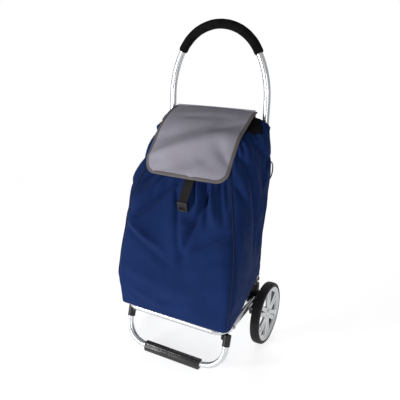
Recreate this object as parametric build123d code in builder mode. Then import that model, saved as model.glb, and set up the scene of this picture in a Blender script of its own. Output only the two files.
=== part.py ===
from build123d import *
import os
from math import atan2, cos, degrees, radians, sin, tan

# Two-wheeled folding shopping trolley. Millimetres, +Z up, front towards -Y.
# The origin is on the floor, below the middle of the overall box.

# ---------------------------------------------------------------- driving dimensions
TUBE_R = 9.5            # 19 mm aluminium tube
TUBE_WALL = 1.2
LEG_X = 155.0           # half the distance between the two legs
SIDE_X = 164.0          # half the distance between the shelf's side tubes
APEX_Z = 960.0          # centreline of the handle's arch at its top
BEND_R = 280.0          # gentle lower bend of the arch
BEND_ANGLE = 30.0
GRIP_R = 14.0
GRIP_OVERHANG = 2.5     # degrees of the lower bend that the grip covers

WHEEL_R = 98.0
TYRE_WIDTH = 28.0
WHEEL_OUT_X = 212.0     # outer face of the wheels
AXLE_R = 5.0
AXLE_Z = WHEEL_R

PIVOT_AHEAD = 30.0      # shelf pivot, ahead of the leg plane
PIVOT_Z = 146.0
FRONT_AHEAD = 230.0     # front tube of the shelf, ahead of the leg plane
FRONT_Z = 130.0
SHELF_CORNER_R = 36.0
FOOT_PIVOT_AHEAD = 186.0
LINK_OFFSET = (4.0, -22.0)   # from a shelf pivot to the link pivot beside it (Y, Z)

FOOT_LEAN = 15.0        # the foot bow leans forwards, degrees from upright
FOOT_AXIS_GAP = 22.0    # foot legs ahead of their pivot, so that they fold beside the shelf
FOOT_TOP_DROP = 17.0    # top of the foot sleeves below their pivot
FOOT_CORNER_R = 65.0
FOOT_TUBE_Z = 14.0      # centre of the bow's bottom tube
PAD_LENGTH = 190.0
PAD_DEPTH = 28.0

BOLT_R = 3.0
PIN_R = 2.5
RUNNING = 0.05          # radial clearance of a running fit
OPEN_PIVOT = 0.7        # radial clearance of the pivot where the linkage is opened

FORK_IN = 149.0         # bracket fork and foot ears, inner face
FORK_OUT = 179.0
CHEEK = 4.9
LINK_IN = 145.0
LINK_THICK = 3.5

FABRIC = 2.0
BAG_BACK_AHEAD = 13.0

# ---------------------------------------------------------------- derived places
slope = (PIVOT_Z - FRONT_Z) / (FRONT_AHEAD - PIVOT_AHEAD)
foot_pivot_z = PIVOT_Z - slope * (FOOT_PIVOT_AHEAD - PIVOT_AHEAD)
foot_top_z = foot_pivot_z - FOOT_TOP_DROP
foot_axis_ahead = FOOT_PIVOT_AHEAD + FOOT_AXIS_GAP
pad_ahead = foot_axis_ahead + (foot_top_z - FOOT_TUBE_Z) * tan(radians(FOOT_LEAN))
LEG_Y = (pad_ahead + PAD_DEPTH / 2 - WHEEL_R) / 2    # centres the overall box on Y = 0
arch_start_z = (
    APEX_Z
    - BEND_R * sin(radians(BEND_ANGLE))
    - (LEG_X - BEND_R * (1 - cos(radians(BEND_ANGLE))))
    * (1 - sin(radians(BEND_ANGLE))) / cos(radians(BEND_ANGLE))
)
arch_top_r = (LEG_X - BEND_R * (1 - cos(radians(BEND_ANGLE)))) / cos(radians(BEND_ANGLE))


def ahead(distance):
    """Y of a place this far ahead of the leg plane."""
    return LEG_Y - distance


def finish(piece, name):
    piece.part.label = name
    export_step(piece.part, f"parts/{name}.step")


def finish_pair(right, name):
    """Writes a right-hand piece and its mirror image on the left."""
    finish(right, f"right_{name}")
    with BuildPart() as left:
        mirror(right.part, about=Plane.YZ)
    finish(left, f"left_{name}")


def rod(x_from, x_to, y, z, radius, mode=Mode.ADD):
    """A round rod along X, in the current part."""
    with BuildSketch(Plane.YZ.offset(x_from)) as disc:
        with Locations((y, z)):
            Circle(radius)
    extrude(disc.sketch, amount=x_to - x_from, mode=mode)


def rod_y(x, y_from, y_to, z, radius, mode=Mode.ADD):
    """A round rod along Y, in the current part."""
    with BuildSketch(Plane.XZ.offset(-y_from)) as disc:
        with Locations((x, z)):
            Circle(radius)
    extrude(disc.sketch, amount=y_from - y_to, mode=mode)


os.makedirs("parts", exist_ok=True)
leg_plane = Plane.XZ.offset(-LEG_Y)
shelf_tilt = atan2(slope, 1.0)
shelf_plane = Plane(
    origin=(0, ahead(PIVOT_AHEAD), PIVOT_Z),
    x_dir=(1, 0, 0),
    z_dir=(0, -sin(shelf_tilt), cos(shelf_tilt)),
)
lean = radians(FOOT_LEAN)
foot_plane = Plane(
    origin=(0, ahead(foot_axis_ahead), foot_top_z),
    x_dir=(1, 0, 0),
    z_dir=(0, -cos(lean), sin(lean)),
)
pivot = (ahead(PIVOT_AHEAD), PIVOT_Z)
foot_pivot = (ahead(FOOT_PIVOT_AHEAD), foot_pivot_z)
link_rear = (pivot[0] + LINK_OFFSET[0], pivot[1] + LINK_OFFSET[1])
link_front = (foot_pivot[0] + LINK_OFFSET[0], foot_pivot[1] + LINK_OFFSET[1])

# ---------------------------------------------------------------- main frame
LEG_BOTTOM_Z = 118.0
BRACKET_TOP_Z = 190.0
BRACKET_HALF_Y = 13.5
RIVET_ZS = (136.0, 176.0)
RIVET_SHANK_R = 2.5
RIVET_HEAD_R = 4.5
RIVET_HEAD = 2.0
CROSSBAR_Z = 202.0
CROSSBAR_H = 16.0
CROSSBAR_T = 4.0

with BuildPart() as frame_tube:
    with BuildLine(leg_plane) as frame_path:
        left_leg = Line((-LEG_X, LEG_BOTTOM_Z), (-LEG_X, arch_start_z))
        left_bend = JernArc(left_leg @ 1, left_leg % 1, BEND_R, -BEND_ANGLE)
        top_arc = JernArc(left_bend @ 1, left_bend % 1, arch_top_r, -2 * (90 - BEND_ANGLE))
        right_bend = JernArc(top_arc @ 1, top_arc % 1, BEND_R, -BEND_ANGLE)
        Line(right_bend @ 1, (LEG_X, LEG_BOTTOM_Z))
    with BuildSketch(Plane((-LEG_X, LEG_Y, LEG_BOTTOM_Z))):
        Circle(TUBE_R)
        Circle(TUBE_R - TUBE_WALL, mode=Mode.SUBTRACT)
    sweep(path=frame_path.wires()[0])
    for side in (-1, 1):
        for z in RIVET_ZS + (CROSSBAR_Z,):
            rod_y(side * LEG_X, LEG_Y + 20, LEG_Y + 6, z, RIVET_SHANK_R, Mode.SUBTRACT)
finish(frame_tube, "frame_tube")

with BuildPart() as handle_grip:
    grip_angle = 90 - BEND_ANGLE + GRIP_OVERHANG
    with BuildLine(leg_plane) as grip_path:
        grip_left = JernArc(
            (0, APEX_Z), (-1, 0), arch_top_r, 90 - BEND_ANGLE, mode=Mode.PRIVATE
        )
        grip_left_end = JernArc(
            grip_left @ 1, grip_left % 1, BEND_R, GRIP_OVERHANG, mode=Mode.PRIVATE
        )
        start = grip_left_end @ 1
        heading = grip_left_end % 1
        first = JernArc((start.X, start.Z), (-heading.X, -heading.Z), BEND_R, -GRIP_OVERHANG)
        over = JernArc(first @ 1, first % 1, arch_top_r, -2 * (90 - BEND_ANGLE))
        JernArc(over @ 1, over % 1, BEND_R, -GRIP_OVERHANG)
    with BuildSketch(Plane(origin=grip_path.wires()[0] @ 0, z_dir=grip_path.wires()[0] % 0)):
        Circle(GRIP_R)
        Circle(TUBE_R, mode=Mode.SUBTRACT)
    sweep(path=grip_path.wires()[0])
finish(handle_grip, "handle_grip")

# Black plastic bracket: socket for the leg, fork for the shelf, boss for the axle
SOCKET_IN = 142.0
SOCKET_OUT = 168.0
with BuildPart() as right_bracket:
    with BuildSketch(Plane.YZ.offset(FORK_IN)):
        with BuildLine():
            Polyline(
                (ahead(17), AXLE_Z - 17),
                (ahead(-17), AXLE_Z - 17),
                (ahead(-17), AXLE_Z + 6),
                (ahead(-BRACKET_HALF_Y), AXLE_Z + 24),
                (ahead(-BRACKET_HALF_Y), PIVOT_Z + 16),
                (ahead(44), PIVOT_Z + 16),
                (ahead(44), PIVOT_Z - 22),
                (ahead(34), PIVOT_Z - 32),
                (ahead(17), AXLE_Z + 10),
                close=True,
            )
        make_face()
        # on this sketch plane, X is the object's Y and Y is its height
        fillet(vertices().sort_by(Axis.Y)[:2], 16.9)
        fillet(vertices().filter_by(lambda v: v.X < ahead(33)), 6)
    extrude(amount=FORK_OUT - FORK_IN)
    with BuildSketch(Plane.XY.offset(AXLE_Z + 14)):
        with Locations(((SOCKET_IN + SOCKET_OUT) / 2, LEG_Y)):
            RectangleRounded(SOCKET_OUT - SOCKET_IN, 2 * BRACKET_HALF_Y, 6)
    extrude(amount=BRACKET_TOP_Z - AXLE_Z - 14)
    # slot for the end of the shelf's side tube, open upwards and forwards
    with BuildSketch(Plane.YZ.offset(FORK_IN + CHEEK)):
        with BuildLine():
            Polyline(
                (ahead(60), PIVOT_Z - 14.5),
                (ahead(15.8), PIVOT_Z - 14.5),
                (ahead(15.8), PIVOT_Z + 40),
                (ahead(60), PIVOT_Z + 40),
                close=True,
            )
        make_face()
    extrude(amount=FORK_OUT - FORK_IN - 2 * CHEEK, mode=Mode.SUBTRACT)
    with BuildSketch(Plane.XY.offset(LEG_BOTTOM_Z)):
        with Locations((LEG_X, LEG_Y)):
            Circle(TUBE_R)
    extrude(amount=BRACKET_TOP_Z, mode=Mode.SUBTRACT)
    rod(SOCKET_IN - 5, FORK_OUT + 5, LEG_Y, AXLE_Z, AXLE_R, Mode.SUBTRACT)
    rod(FORK_IN - 5, FORK_OUT + 5, *pivot, BOLT_R, Mode.SUBTRACT)
    rod(FORK_IN - 5, FORK_IN + CHEEK, *link_rear, PIN_R, Mode.SUBTRACT)
    for z in RIVET_ZS:
        rod_y(LEG_X, LEG_Y + 20, LEG_Y + 6, z, RIVET_SHANK_R, Mode.SUBTRACT)
finish_pair(right_bracket, "bracket")

with BuildPart() as bracket_rivets:
    for side in (-1, 1):
        for z in RIVET_ZS:
            face_y = LEG_Y + BRACKET_HALF_Y
            rod_y(side * LEG_X, face_y, LEG_Y + 6.5, z, RIVET_SHANK_R)
            rod_y(side * LEG_X, face_y + RIVET_HEAD, face_y, z, RIVET_HEAD_R)
finish(bracket_rivets, "bracket_rivets")

# Flat bar behind the legs, riveted to both
crossbar_y = LEG_Y + TUBE_R
with BuildPart() as back_crossbar:
    with BuildSketch(Plane.XZ.offset(-crossbar_y)):
        with Locations((0, CROSSBAR_Z)):
            RectangleRounded(2 * LEG_X + 20, CROSSBAR_H, 5)
    extrude(amount=-CROSSBAR_T)
    for side in (-1, 1):
        rod_y(side * LEG_X, LEG_Y + 20, LEG_Y + 6, CROSSBAR_Z, RIVET_SHANK_R, Mode.SUBTRACT)
finish(back_crossbar, "back_crossbar")

with BuildPart() as crossbar_rivets:
    for side in (-1, 1):
        face_y = crossbar_y + CROSSBAR_T
        rod_y(side * LEG_X, face_y, LEG_Y + 6.5, CROSSBAR_Z, RIVET_SHANK_R)
        rod_y(side * LEG_X, face_y + RIVET_HEAD, face_y, CROSSBAR_Z, RIVET_HEAD_R)
finish(crossbar_rivets, "crossbar_rivets")

# ---------------------------------------------------------------- axle and wheels
wheel_in_x = WHEEL_OUT_X - TYRE_WIDTH
HUB_R = 17.0
HUB_IN_X = wheel_in_x + 1.0
HUB_OUT_X = WHEEL_OUT_X - 5.0
BUSHING_R = 8.0
NUT_POCKET_R = 13.0
NUT_POCKET_X = HUB_OUT_X - 9.0
RIM_R = 86.0
RIM_INNER_R = 76.0
SPOKES = 6
wheel_axis = Axis((0, LEG_Y, AXLE_Z), (1, 0, 0))

with BuildPart() as axle:
    rod(-HUB_OUT_X + 1, HUB_OUT_X - 1, LEG_Y, AXLE_Z, AXLE_R)
    chamfer(axle.edges().filter_by(GeomType.CIRCLE), 0.8)
finish(axle, "axle")

with BuildPart() as axle_washers:
    for side in (-1, 1):
        with BuildSketch(Plane.YZ.offset(side * FORK_OUT)):
            with Locations((LEG_Y, AXLE_Z)):
                Circle(12)
                Circle(AXLE_R, mode=Mode.SUBTRACT)
        extrude(amount=side * (HUB_IN_X - FORK_OUT - 0.5))
finish(axle_washers, "axle_washers")

with BuildPart() as push_nuts:
    for side in (-1, 1):
        with BuildSketch(Plane.YZ.offset(side * (NUT_POCKET_X + 0.5))):
            with Locations((LEG_Y, AXLE_Z)):
                Circle(9)
                Circle(AXLE_R, mode=Mode.SUBTRACT)
        extrude(amount=side * 3)
finish(push_nuts, "push_nuts")

with BuildPart() as right_tyre:
    with BuildSketch(Plane.XY.offset(AXLE_Z)):
        with BuildLine():
            Polyline(
                (wheel_in_x, LEG_Y + RIM_R),
                (wheel_in_x, LEG_Y + WHEEL_R - 5),
                (wheel_in_x + 5, LEG_Y + WHEEL_R - 0.8),
                (wheel_in_x + TYRE_WIDTH / 2, LEG_Y + WHEEL_R),
                (WHEEL_OUT_X - 5, LEG_Y + WHEEL_R - 0.8),
                (WHEEL_OUT_X, LEG_Y + WHEEL_R - 5),
                (WHEEL_OUT_X, LEG_Y + RIM_R),
                close=True,
            )
        make_face()
    revolve(axis=wheel_axis)
finish_pair(right_tyre, "tyre")

with BuildPart() as right_wheel:
    # rim, with a shallow lip on its outer face
    with BuildSketch(Plane.XY.offset(AXLE_Z)):
        with BuildLine():
            Polyline(
                (wheel_in_x + 1, LEG_Y + RIM_INNER_R + 4),
                (wheel_in_x + 1, LEG_Y + RIM_R),
                (WHEEL_OUT_X - 1, LEG_Y + RIM_R),
                (WHEEL_OUT_X - 1, LEG_Y + RIM_INNER_R),
                (WHEEL_OUT_X - 5, LEG_Y + RIM_INNER_R),
                close=True,
            )
        make_face()
    revolve(axis=wheel_axis)
    with BuildSketch(Plane.YZ.offset(HUB_IN_X)):
        with Locations((LEG_Y, AXLE_Z)):
            Circle(HUB_R)
    extrude(amount=HUB_OUT_X - HUB_IN_X)
    # double spokes: two bars that spread from the hub to the rim
    with BuildSketch(Plane.YZ.offset(WHEEL_OUT_X - 13)):
        for turn in range(SPOKES):
            with Locations(Location((LEG_Y, AXLE_Z), 90 + turn * 360 / SPOKES)):
                for sign in (-1, 1):
                    Polygon(
                        (HUB_R - 5, sign * 2),
                        (RIM_INNER_R + 3, sign * 7),
                        (RIM_INNER_R + 3, sign * 16),
                        (HUB_R - 5, sign * 8),
                        align=None,
                    )
    extrude(amount=8)
    rod(HUB_IN_X - 1, HUB_OUT_X + 1, LEG_Y, AXLE_Z, BUSHING_R, Mode.SUBTRACT)
    rod(NUT_POCKET_X, HUB_OUT_X + 1, LEG_Y, AXLE_Z, NUT_POCKET_R, Mode.SUBTRACT)
finish_pair(right_wheel, "wheel")

with BuildPart() as right_bushing:
    rod(HUB_IN_X, NUT_POCKET_X, LEG_Y, AXLE_Z, BUSHING_R)
    rod(HUB_IN_X - 1, NUT_POCKET_X + 1, LEG_Y, AXLE_Z, AXLE_R + RUNNING, Mode.SUBTRACT)
finish_pair(right_bushing, "bushing")

with BuildPart() as right_hub_cap:
    rod(HUB_OUT_X, HUB_OUT_X + 4, LEG_Y, AXLE_Z, HUB_R - 0.5)
    fillet(right_hub_cap.edges().sort_by(Axis.X)[-1], 3)
finish_pair(right_hub_cap, "hub_cap")

# ---------------------------------------------------------------- folding shelf
TUBE_END_BEHIND = 10.0
shelf_reach = (FRONT_AHEAD - PIVOT_AHEAD) / cos(shelf_tilt)
with BuildPart() as shelf_tube:
    with BuildLine(shelf_plane) as shelf_path:
        side_left = Line((-SIDE_X, TUBE_END_BEHIND), (-SIDE_X, SHELF_CORNER_R - shelf_reach))
        corner_left = JernArc(side_left @ 1, side_left % 1, SHELF_CORNER_R, 90)
        front = Line(
            corner_left @ 1,
            shelf_plane.from_local_coords((SIDE_X - SHELF_CORNER_R, -shelf_reach, 0)),
        )
        corner_right = JernArc(front @ 1, front % 1, SHELF_CORNER_R, 90)
        Line(corner_right @ 1, shelf_plane.from_local_coords((SIDE_X, TUBE_END_BEHIND, 0)))
    with BuildSketch(Plane(shelf_path.wires()[0] @ 0, z_dir=shelf_path.wires()[0] % 0)):
        Circle(TUBE_R)
        Circle(TUBE_R - TUBE_WALL, mode=Mode.SUBTRACT)
    sweep(path=shelf_path.wires()[0])
    for side in (-1, 1):
        start_x = side * SIDE_X - 15
        rod(start_x, start_x + 30, *pivot, BOLT_R + RUNNING, Mode.SUBTRACT)
        rod(start_x, start_x + 30, *foot_pivot, BOLT_R, Mode.SUBTRACT)
finish(shelf_tube, "shelf_tube")

with BuildPart() as shelf_pivot_bolts:
    for side in (-1, 1):
        with BuildSketch(Plane.YZ.offset(side * (FORK_IN + 0.2))):
            with Locations(pivot):
                Circle(BOLT_R)
        extrude(amount=side * (FORK_OUT - FORK_IN - 0.2))
        with BuildSketch(Plane.YZ.offset(side * FORK_OUT)):
            with Locations(pivot):
                Circle(5.5)
        extrude(amount=side * 2.5)
finish(shelf_pivot_bolts, "shelf_pivot_bolts")

with BuildPart() as foot_pivot_bolts:
    for side in (-1, 1):
        with BuildSketch(Plane.YZ.offset(side * (FORK_IN + 0.2))):
            with Locations(foot_pivot):
                Circle(BOLT_R)
        extrude(amount=side * (SIDE_X + TUBE_R - FORK_IN - 0.2))
        with BuildSketch(Plane.YZ.offset(side * (SIDE_X + TUBE_R))):
            with Locations(foot_pivot):
                Circle(5.5)
        extrude(amount=side * 2.5)
finish(foot_pivot_bolts, "foot_pivot_bolts")

# ---------------------------------------------------------------- folding foot
SLEEVE_R = 11.5
SLEEVE_LENGTH = 32.0
EAR_BLOCK = 16.0         # height of the block that joins ear and socket
SLEEVE_CAP = 4.0
bow_depth = (foot_top_z - FOOT_TUBE_Z) / cos(lean)
with BuildPart() as foot_tube:
    with BuildLine(foot_plane) as foot_path:
        leg_left = Line((-SIDE_X, -SLEEVE_CAP), (-SIDE_X, FOOT_CORNER_R - bow_depth))
        bow_left = JernArc(leg_left @ 1, leg_left % 1, FOOT_CORNER_R, 90)
        bottom = Line(
            bow_left @ 1,
            foot_plane.from_local_coords((SIDE_X - FOOT_CORNER_R, -bow_depth, 0)),
        )
        bow_right = JernArc(bottom @ 1, bottom % 1, FOOT_CORNER_R, 90)
        Line(bow_right @ 1, foot_plane.from_local_coords((SIDE_X, -SLEEVE_CAP, 0)))
    with BuildSketch(Plane(foot_path.wires()[0] @ 0, z_dir=foot_path.wires()[0] % 0)):
        Circle(TUBE_R)
        Circle(TUBE_R - TUBE_WALL, mode=Mode.SUBTRACT)
    sweep(path=foot_path.wires()[0])
finish(foot_tube, "foot_tube")

with BuildPart() as right_foot_sleeve:
    # ear beside the shelf tube, with the shelf pivot and the link pivot
    with BuildSketch(Plane.YZ.offset(FORK_IN)):
        with BuildLine():
            Polyline(
                (foot_pivot[0] - 8, foot_pivot[1] + 8),
                (foot_pivot[0] + 8, foot_pivot[1] + 8),
                (link_front[0] + 7, link_front[1] - 7),
                (ahead(foot_axis_ahead + 12), link_front[1] - 7),
                (ahead(foot_axis_ahead + 10), foot_top_z),
                (foot_pivot[0] - 8, foot_top_z),
                close=True,
            )
        make_face()
        fillet(vertices().sort_by(Axis.Y)[-2:], 7)
        fillet(vertices().sort_by(Axis.X)[-1], 6)
    extrude(amount=CHEEK)
    # socket for the bow's leg, along the lean
    with BuildSketch(foot_plane.rotated((90, 0, 0))):
        with Locations((SIDE_X, 0)):
            Circle(SLEEVE_R)
    extrude(amount=SLEEVE_LENGTH, dir=(0, -sin(lean), -cos(lean)))
    with BuildSketch(Plane.XY.offset(foot_top_z - EAR_BLOCK + 3)):
        with Locations(((FORK_IN + SIDE_X) / 2, ahead(foot_axis_ahead + 1))):
            Rectangle(SIDE_X - FORK_IN, 2 * SLEEVE_R - 3)
    extrude(amount=EAR_BLOCK - 4)
    rod(FORK_IN - 1, FORK_IN + CHEEK + 1, *foot_pivot, BOLT_R + RUNNING, Mode.SUBTRACT)
    rod(FORK_IN - 1, FORK_IN + CHEEK + 1, *link_front, PIN_R, Mode.SUBTRACT)
    with BuildSketch(foot_plane.rotated((90, 0, 0))) as bore:
        with Locations((SIDE_X, 0)):
            Circle(TUBE_R)
    bore_start = (0, -SLEEVE_CAP * sin(lean), -SLEEVE_CAP * cos(lean))
    extrude(
        bore.sketch.moved(Location(bore_start)),
        amount=SLEEVE_LENGTH + 10,
        dir=(0, -sin(lean), -cos(lean)),
        mode=Mode.SUBTRACT,
    )
finish_pair(right_foot_sleeve, "foot_sleeve")

with BuildPart() as foot_pad:
    with BuildSketch(Plane.YZ.offset(-PAD_LENGTH / 2)):
        with Locations((ahead(pad_ahead), 5)):
            Rectangle(PAD_DEPTH, 10)
        with Locations((ahead(pad_ahead), FOOT_TUBE_Z)):
            Circle(PAD_DEPTH / 2 - 0.5)
            Circle(TUBE_R, mode=Mode.SUBTRACT)
    extrude(amount=PAD_LENGTH)
finish(foot_pad, "foot_pad")

# ---------------------------------------------------------------- links of the foot
LINK_R = 7.0
link_angle = degrees(atan2(link_rear[1] - link_front[1], link_rear[0] - link_front[0]))
link_span = FOOT_PIVOT_AHEAD - PIVOT_AHEAD
link_length = link_span / cos(shelf_tilt)
with BuildPart() as right_link:
    with BuildSketch(Plane.YZ.offset(LINK_IN)):
        middle = ((link_rear[0] + link_front[0]) / 2, (link_rear[1] + link_front[1]) / 2)
        with Locations(Location(middle, link_angle)):
            SlotCenterToCenter(link_length, 2 * LINK_R)
    extrude(amount=LINK_THICK)
    rod(LINK_IN - 1, LINK_IN + LINK_THICK + 1, *link_rear, PIN_R + RUNNING, Mode.SUBTRACT)
    rod(LINK_IN - 1, LINK_IN + LINK_THICK + 1, *link_front, PIN_R + OPEN_PIVOT, Mode.SUBTRACT)
finish_pair(right_link, "link")


def link_pins(place):
    """One headed pin on each side, through the link into the cheek or ear behind it."""
    with BuildPart() as pins:
        for side in (-1, 1):
            with BuildSketch(Plane.YZ.offset(side * (LINK_IN - 0.3))):
                with Locations(place):
                    Circle(PIN_R)
            extrude(amount=side * (FORK_IN + CHEEK - LINK_IN))
            with BuildSketch(Plane.YZ.offset(side * (LINK_IN - 0.3))):
                with Locations(place):
                    Circle(4.5)
            extrude(amount=-side * 2)
    return pins


finish(link_pins(link_rear), "link_rear_pins")
finish(link_pins(link_front), "link_front_pins")

# ---------------------------------------------------------------- bag
BAG_FRONT_BOTTOM_Z = 143.0
BAG_BACK_BOTTOM_Z = 193.0
BAG_FRONT_TOP_Z = 612.0
BAG_BACK_TOP_Z = 692.0
BACK_CORNER_R = 12.0


def tilted_plane(front_ahead, front_z, back_z):
    """Plane through the bag's back edge and a front edge, with local y towards the back."""
    run = front_ahead - BAG_BACK_AHEAD
    tilt = atan2(back_z - front_z, run)
    plane = Plane(
        origin=(0, ahead(BAG_BACK_AHEAD), back_z),
        x_dir=(1, 0, 0),
        z_dir=(0, -sin(tilt), cos(tilt)),
    )
    return plane, run / cos(tilt)


def bag_outline(plane, depth, back_half, front_half, corner, inset=0.0):
    """Rounded four-sided outline of the bag on a plane."""
    with BuildSketch(plane) as outline:
        with BuildLine():
            Polyline(
                (-back_half + inset, -inset),
                (back_half - inset, -inset),
                (front_half - inset, -depth + inset),
                (-front_half + inset, -depth + inset),
                close=True,
            )
        make_face()
        back = outline.vertices().group_by(Axis.Y)[-1]
        fillet(back, BACK_CORNER_R - inset)
        front = outline.vertices().group_by(Axis.Y)[0]
        fillet(front, corner - inset)
    return outline.sketch


bottom_plane, bottom_depth = tilted_plane(244.0, BAG_FRONT_BOTTOM_Z, BAG_BACK_BOTTOM_Z)
top_plane, top_depth = tilted_plane(158.0, BAG_FRONT_TOP_Z, BAG_BACK_TOP_Z)
# height, reach ahead of the leg plane, back half width, front half width, front corner radius
BAG_LEVELS = (
    (220.0, 249.0, 169.0, 190.0, 24.0),
    (310.0, 242.0, 170.0, 188.0, 32.0),
    (400.0, 230.0, 176.0, 184.0, 44.0),
    (480.0, 213.0, 182.0, 176.0, 58.0),
    (550.0, 189.0, 183.0, 166.0, 66.0),
)


def bag_solid(inset, lift):
    """Closed bag form; inset shrinks it on all sides and lift raises both ends."""
    faces = [bag_outline(bottom_plane.offset(lift), bottom_depth, 160, 183, 20, inset)]
    for z, reach, back_half, front_half, corner in BAG_LEVELS:
        level = Plane((0, ahead(BAG_BACK_AHEAD), z))
        depth = reach - BAG_BACK_AHEAD
        faces.append(bag_outline(level, depth, back_half, front_half, corner, inset))
    faces.append(bag_outline(top_plane.offset(lift), top_depth, 174, 146, 70, inset))
    return loft(faces)


bag_outside = bag_solid(0.0, 0.0)
bag_inside = bag_solid(FABRIC, FABRIC)
with BuildPart() as bag_shell:
    add(bag_outside)
    add(bag_inside, mode=Mode.SUBTRACT)
finish(bag_shell, "bag_shell")

BOARD_T = 3.0
BOARD_INSET = 8.0
board_outline = bag_outline(
    bottom_plane.offset(FABRIC + 0.3), bottom_depth, 152, 172, 20, BOARD_INSET
)
with BuildPart() as base_board:
    extrude(board_outline, amount=BOARD_T)
finish(base_board, "base_board")

# Gathered collar that stands on the bag's rim and narrows to the drawn opening
COLLAR_H = 20.0
NECK_BACK_GAP = 10.0      # the drawn opening starts this far ahead of the rim's back edge
NECK_DEPTH_LOSS = 34.0
rim = top_plane.offset(FABRIC + 0.1)
neck_origin = rim.origin + rim.z_dir * COLLAR_H - rim.y_dir * NECK_BACK_GAP
neck = Plane(neck_origin, x_dir=(1, 0, 0), z_dir=rim.z_dir)


def collar_solid(inset, lap):
    """Closed form of the collar; inset shrinks it and lap carries it past both ends."""
    return loft([
        bag_outline(rim.offset(-lap), top_depth, 172, 144, 70, FABRIC + inset),
        bag_outline(neck.offset(lap), top_depth - NECK_DEPTH_LOSS, 126, 108, 50, inset),
    ])


collar_outside = collar_solid(0.0, 0.0)
collar_inside = collar_solid(FABRIC, 0.5)
with BuildPart() as bag_collar:
    add(collar_outside)
    add(collar_inside, mode=Mode.SUBTRACT)
finish(bag_collar, "bag_collar")

# Piping on the two front seams, from the bottom edge up to the flap
PIPING_R = 2.0
# x, reach ahead of the leg plane, height
PIPING_POINTS = (
    (177.5, 239.0, 150.0),
    (183.5, 243.0, 220.0),
    (179.5, 234.5, 310.0),
    (172.0, 219.5, 400.0),
    (156.0, 201.5, 480.0),
    (138.0, 181.0, 550.0),
)
with BuildPart() as right_piping:
    with BuildLine() as seam:
        Spline(*[(x, ahead(reach), z) for x, reach, z in PIPING_POINTS])
    with BuildSketch(Plane(seam.line @ 0, z_dir=seam.line % 0)):
        Circle(PIPING_R)
    sweep(path=seam.wires()[0])
finish_pair(right_piping, "piping")

# Fabric sleeves on the bag's back, which slide over the legs
SLEEVE_BOTTOM_Z = 216.0
SLEEVE_TOP_Z = 684.0
with BuildPart() as right_tube_sleeve:
    with BuildSketch(Plane.XY.offset(SLEEVE_BOTTOM_Z)):
        with Locations((LEG_X, LEG_Y)):
            Circle(TUBE_R + 0.5 + FABRIC)
        with Locations((LEG_X, ahead(BAG_BACK_AHEAD - 2.5))):
            Rectangle(14, 4.6)
        with Locations((LEG_X, LEG_Y)):
            Circle(TUBE_R + 0.5, mode=Mode.SUBTRACT)
    extrude(amount=SLEEVE_TOP_Z - SLEEVE_BOTTOM_Z)
finish_pair(right_tube_sleeve, "tube_sleeve")

# Wire loops for hanging the trolley, each sewn into a tab behind a sleeve
LOOP_WIRE_R = 2.0
LOOP_Z = 541.0
LOOP_R = 27.0
LOOP_STRAIGHT = 46.0
TAB_DEPTH = 9.0
tab_y = LEG_Y + TUBE_R + 0.5 + FABRIC
with BuildPart() as right_hang_loop:
    loop_y = tab_y + 3
    with BuildLine(Plane.YZ.offset(LEG_X)) as loop_path:
        Line((loop_y, LOOP_Z + LOOP_R), (loop_y + LOOP_STRAIGHT, LOOP_Z + LOOP_R))
        ThreePointArc(
            (loop_y + LOOP_STRAIGHT, LOOP_Z + LOOP_R),
            (loop_y + LOOP_STRAIGHT + LOOP_R, LOOP_Z),
            (loop_y + LOOP_STRAIGHT, LOOP_Z - LOOP_R),
        )
        Line((loop_y + LOOP_STRAIGHT, LOOP_Z - LOOP_R), (loop_y, LOOP_Z - LOOP_R))
    with BuildSketch(Plane(loop_path.wires()[0] @ 0, z_dir=(0, 1, 0))):
        Circle(LOOP_WIRE_R)
    sweep(path=loop_path.wires()[0])
finish_pair(right_hang_loop, "hang_loop")

with BuildPart() as right_loop_tab:
    with BuildSketch(Plane.XY.offset(LOOP_Z - LOOP_R - 7)):
        with Locations((LEG_X, tab_y + TAB_DEPTH / 2 + 0.1)):
            Rectangle(8, TAB_DEPTH)
    extrude(amount=2 * LOOP_R + 14)
    add(right_hang_loop.part, mode=Mode.SUBTRACT)
finish_pair(right_loop_tab, "loop_tab")

# ---------------------------------------------------------------- flap
FLAP_BACK_HALF = 132.0
FLAP_FRONT_HALF = 126.0
FLAP_T = 2.5
BINDING = 8.0
# reach ahead of the leg plane and height, from the hinge edge to the front edge
FLAP_PROFILE = (
    (16.0, 727.0), (72.0, 706.0), (126.0, 670.0), (166.0, 624.0), (190.0, 580.0), (197.0, 548.0),
)


def flap_band(below, above):
    """Curved band under the flap's upper face, between two depths, across the whole width."""
    with BuildPart() as band:
        with BuildSketch(Plane.YZ.offset(-FLAP_BACK_HALF - 5)):
            with BuildLine():
                upper = Spline(*[(ahead(a), z + above) for a, z in FLAP_PROFILE])
                lower = Spline(*[(ahead(a - 0.6 * below), z - below) for a, z in FLAP_PROFILE])
                Line(upper @ 0, lower @ 0)
                Line(upper @ 1, lower @ 1)
            make_face()
        extrude(amount=2 * FLAP_BACK_HALF + 10)
    return band.part


flap_plan = Plane(
    origin=(0, ahead(FLAP_PROFILE[0][0]), FLAP_PROFILE[0][1]), x_dir=(1, 0, 0), z_dir=(0, -1, 1)
)
FLAP_RUN = 262.0        # from the hinge edge to the front edge, square on
FLAP_CORNER_R = 30.0


def flap_outline(inset):
    """Flap seen square on: straight hinge edge, rounded front corners."""
    with BuildSketch(flap_plan.offset(-150)) as outline:
        with BuildLine():
            Polyline(
                (-FLAP_BACK_HALF + inset, 20),
                (FLAP_BACK_HALF - inset, 20),
                (FLAP_FRONT_HALF - inset, -FLAP_RUN + inset),
                (-FLAP_FRONT_HALF + inset, -FLAP_RUN + inset),
                close=True,
            )
        make_face()
        fillet(outline.vertices().group_by(Axis.Y)[0], FLAP_CORNER_R - inset)
    return outline.sketch


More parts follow.
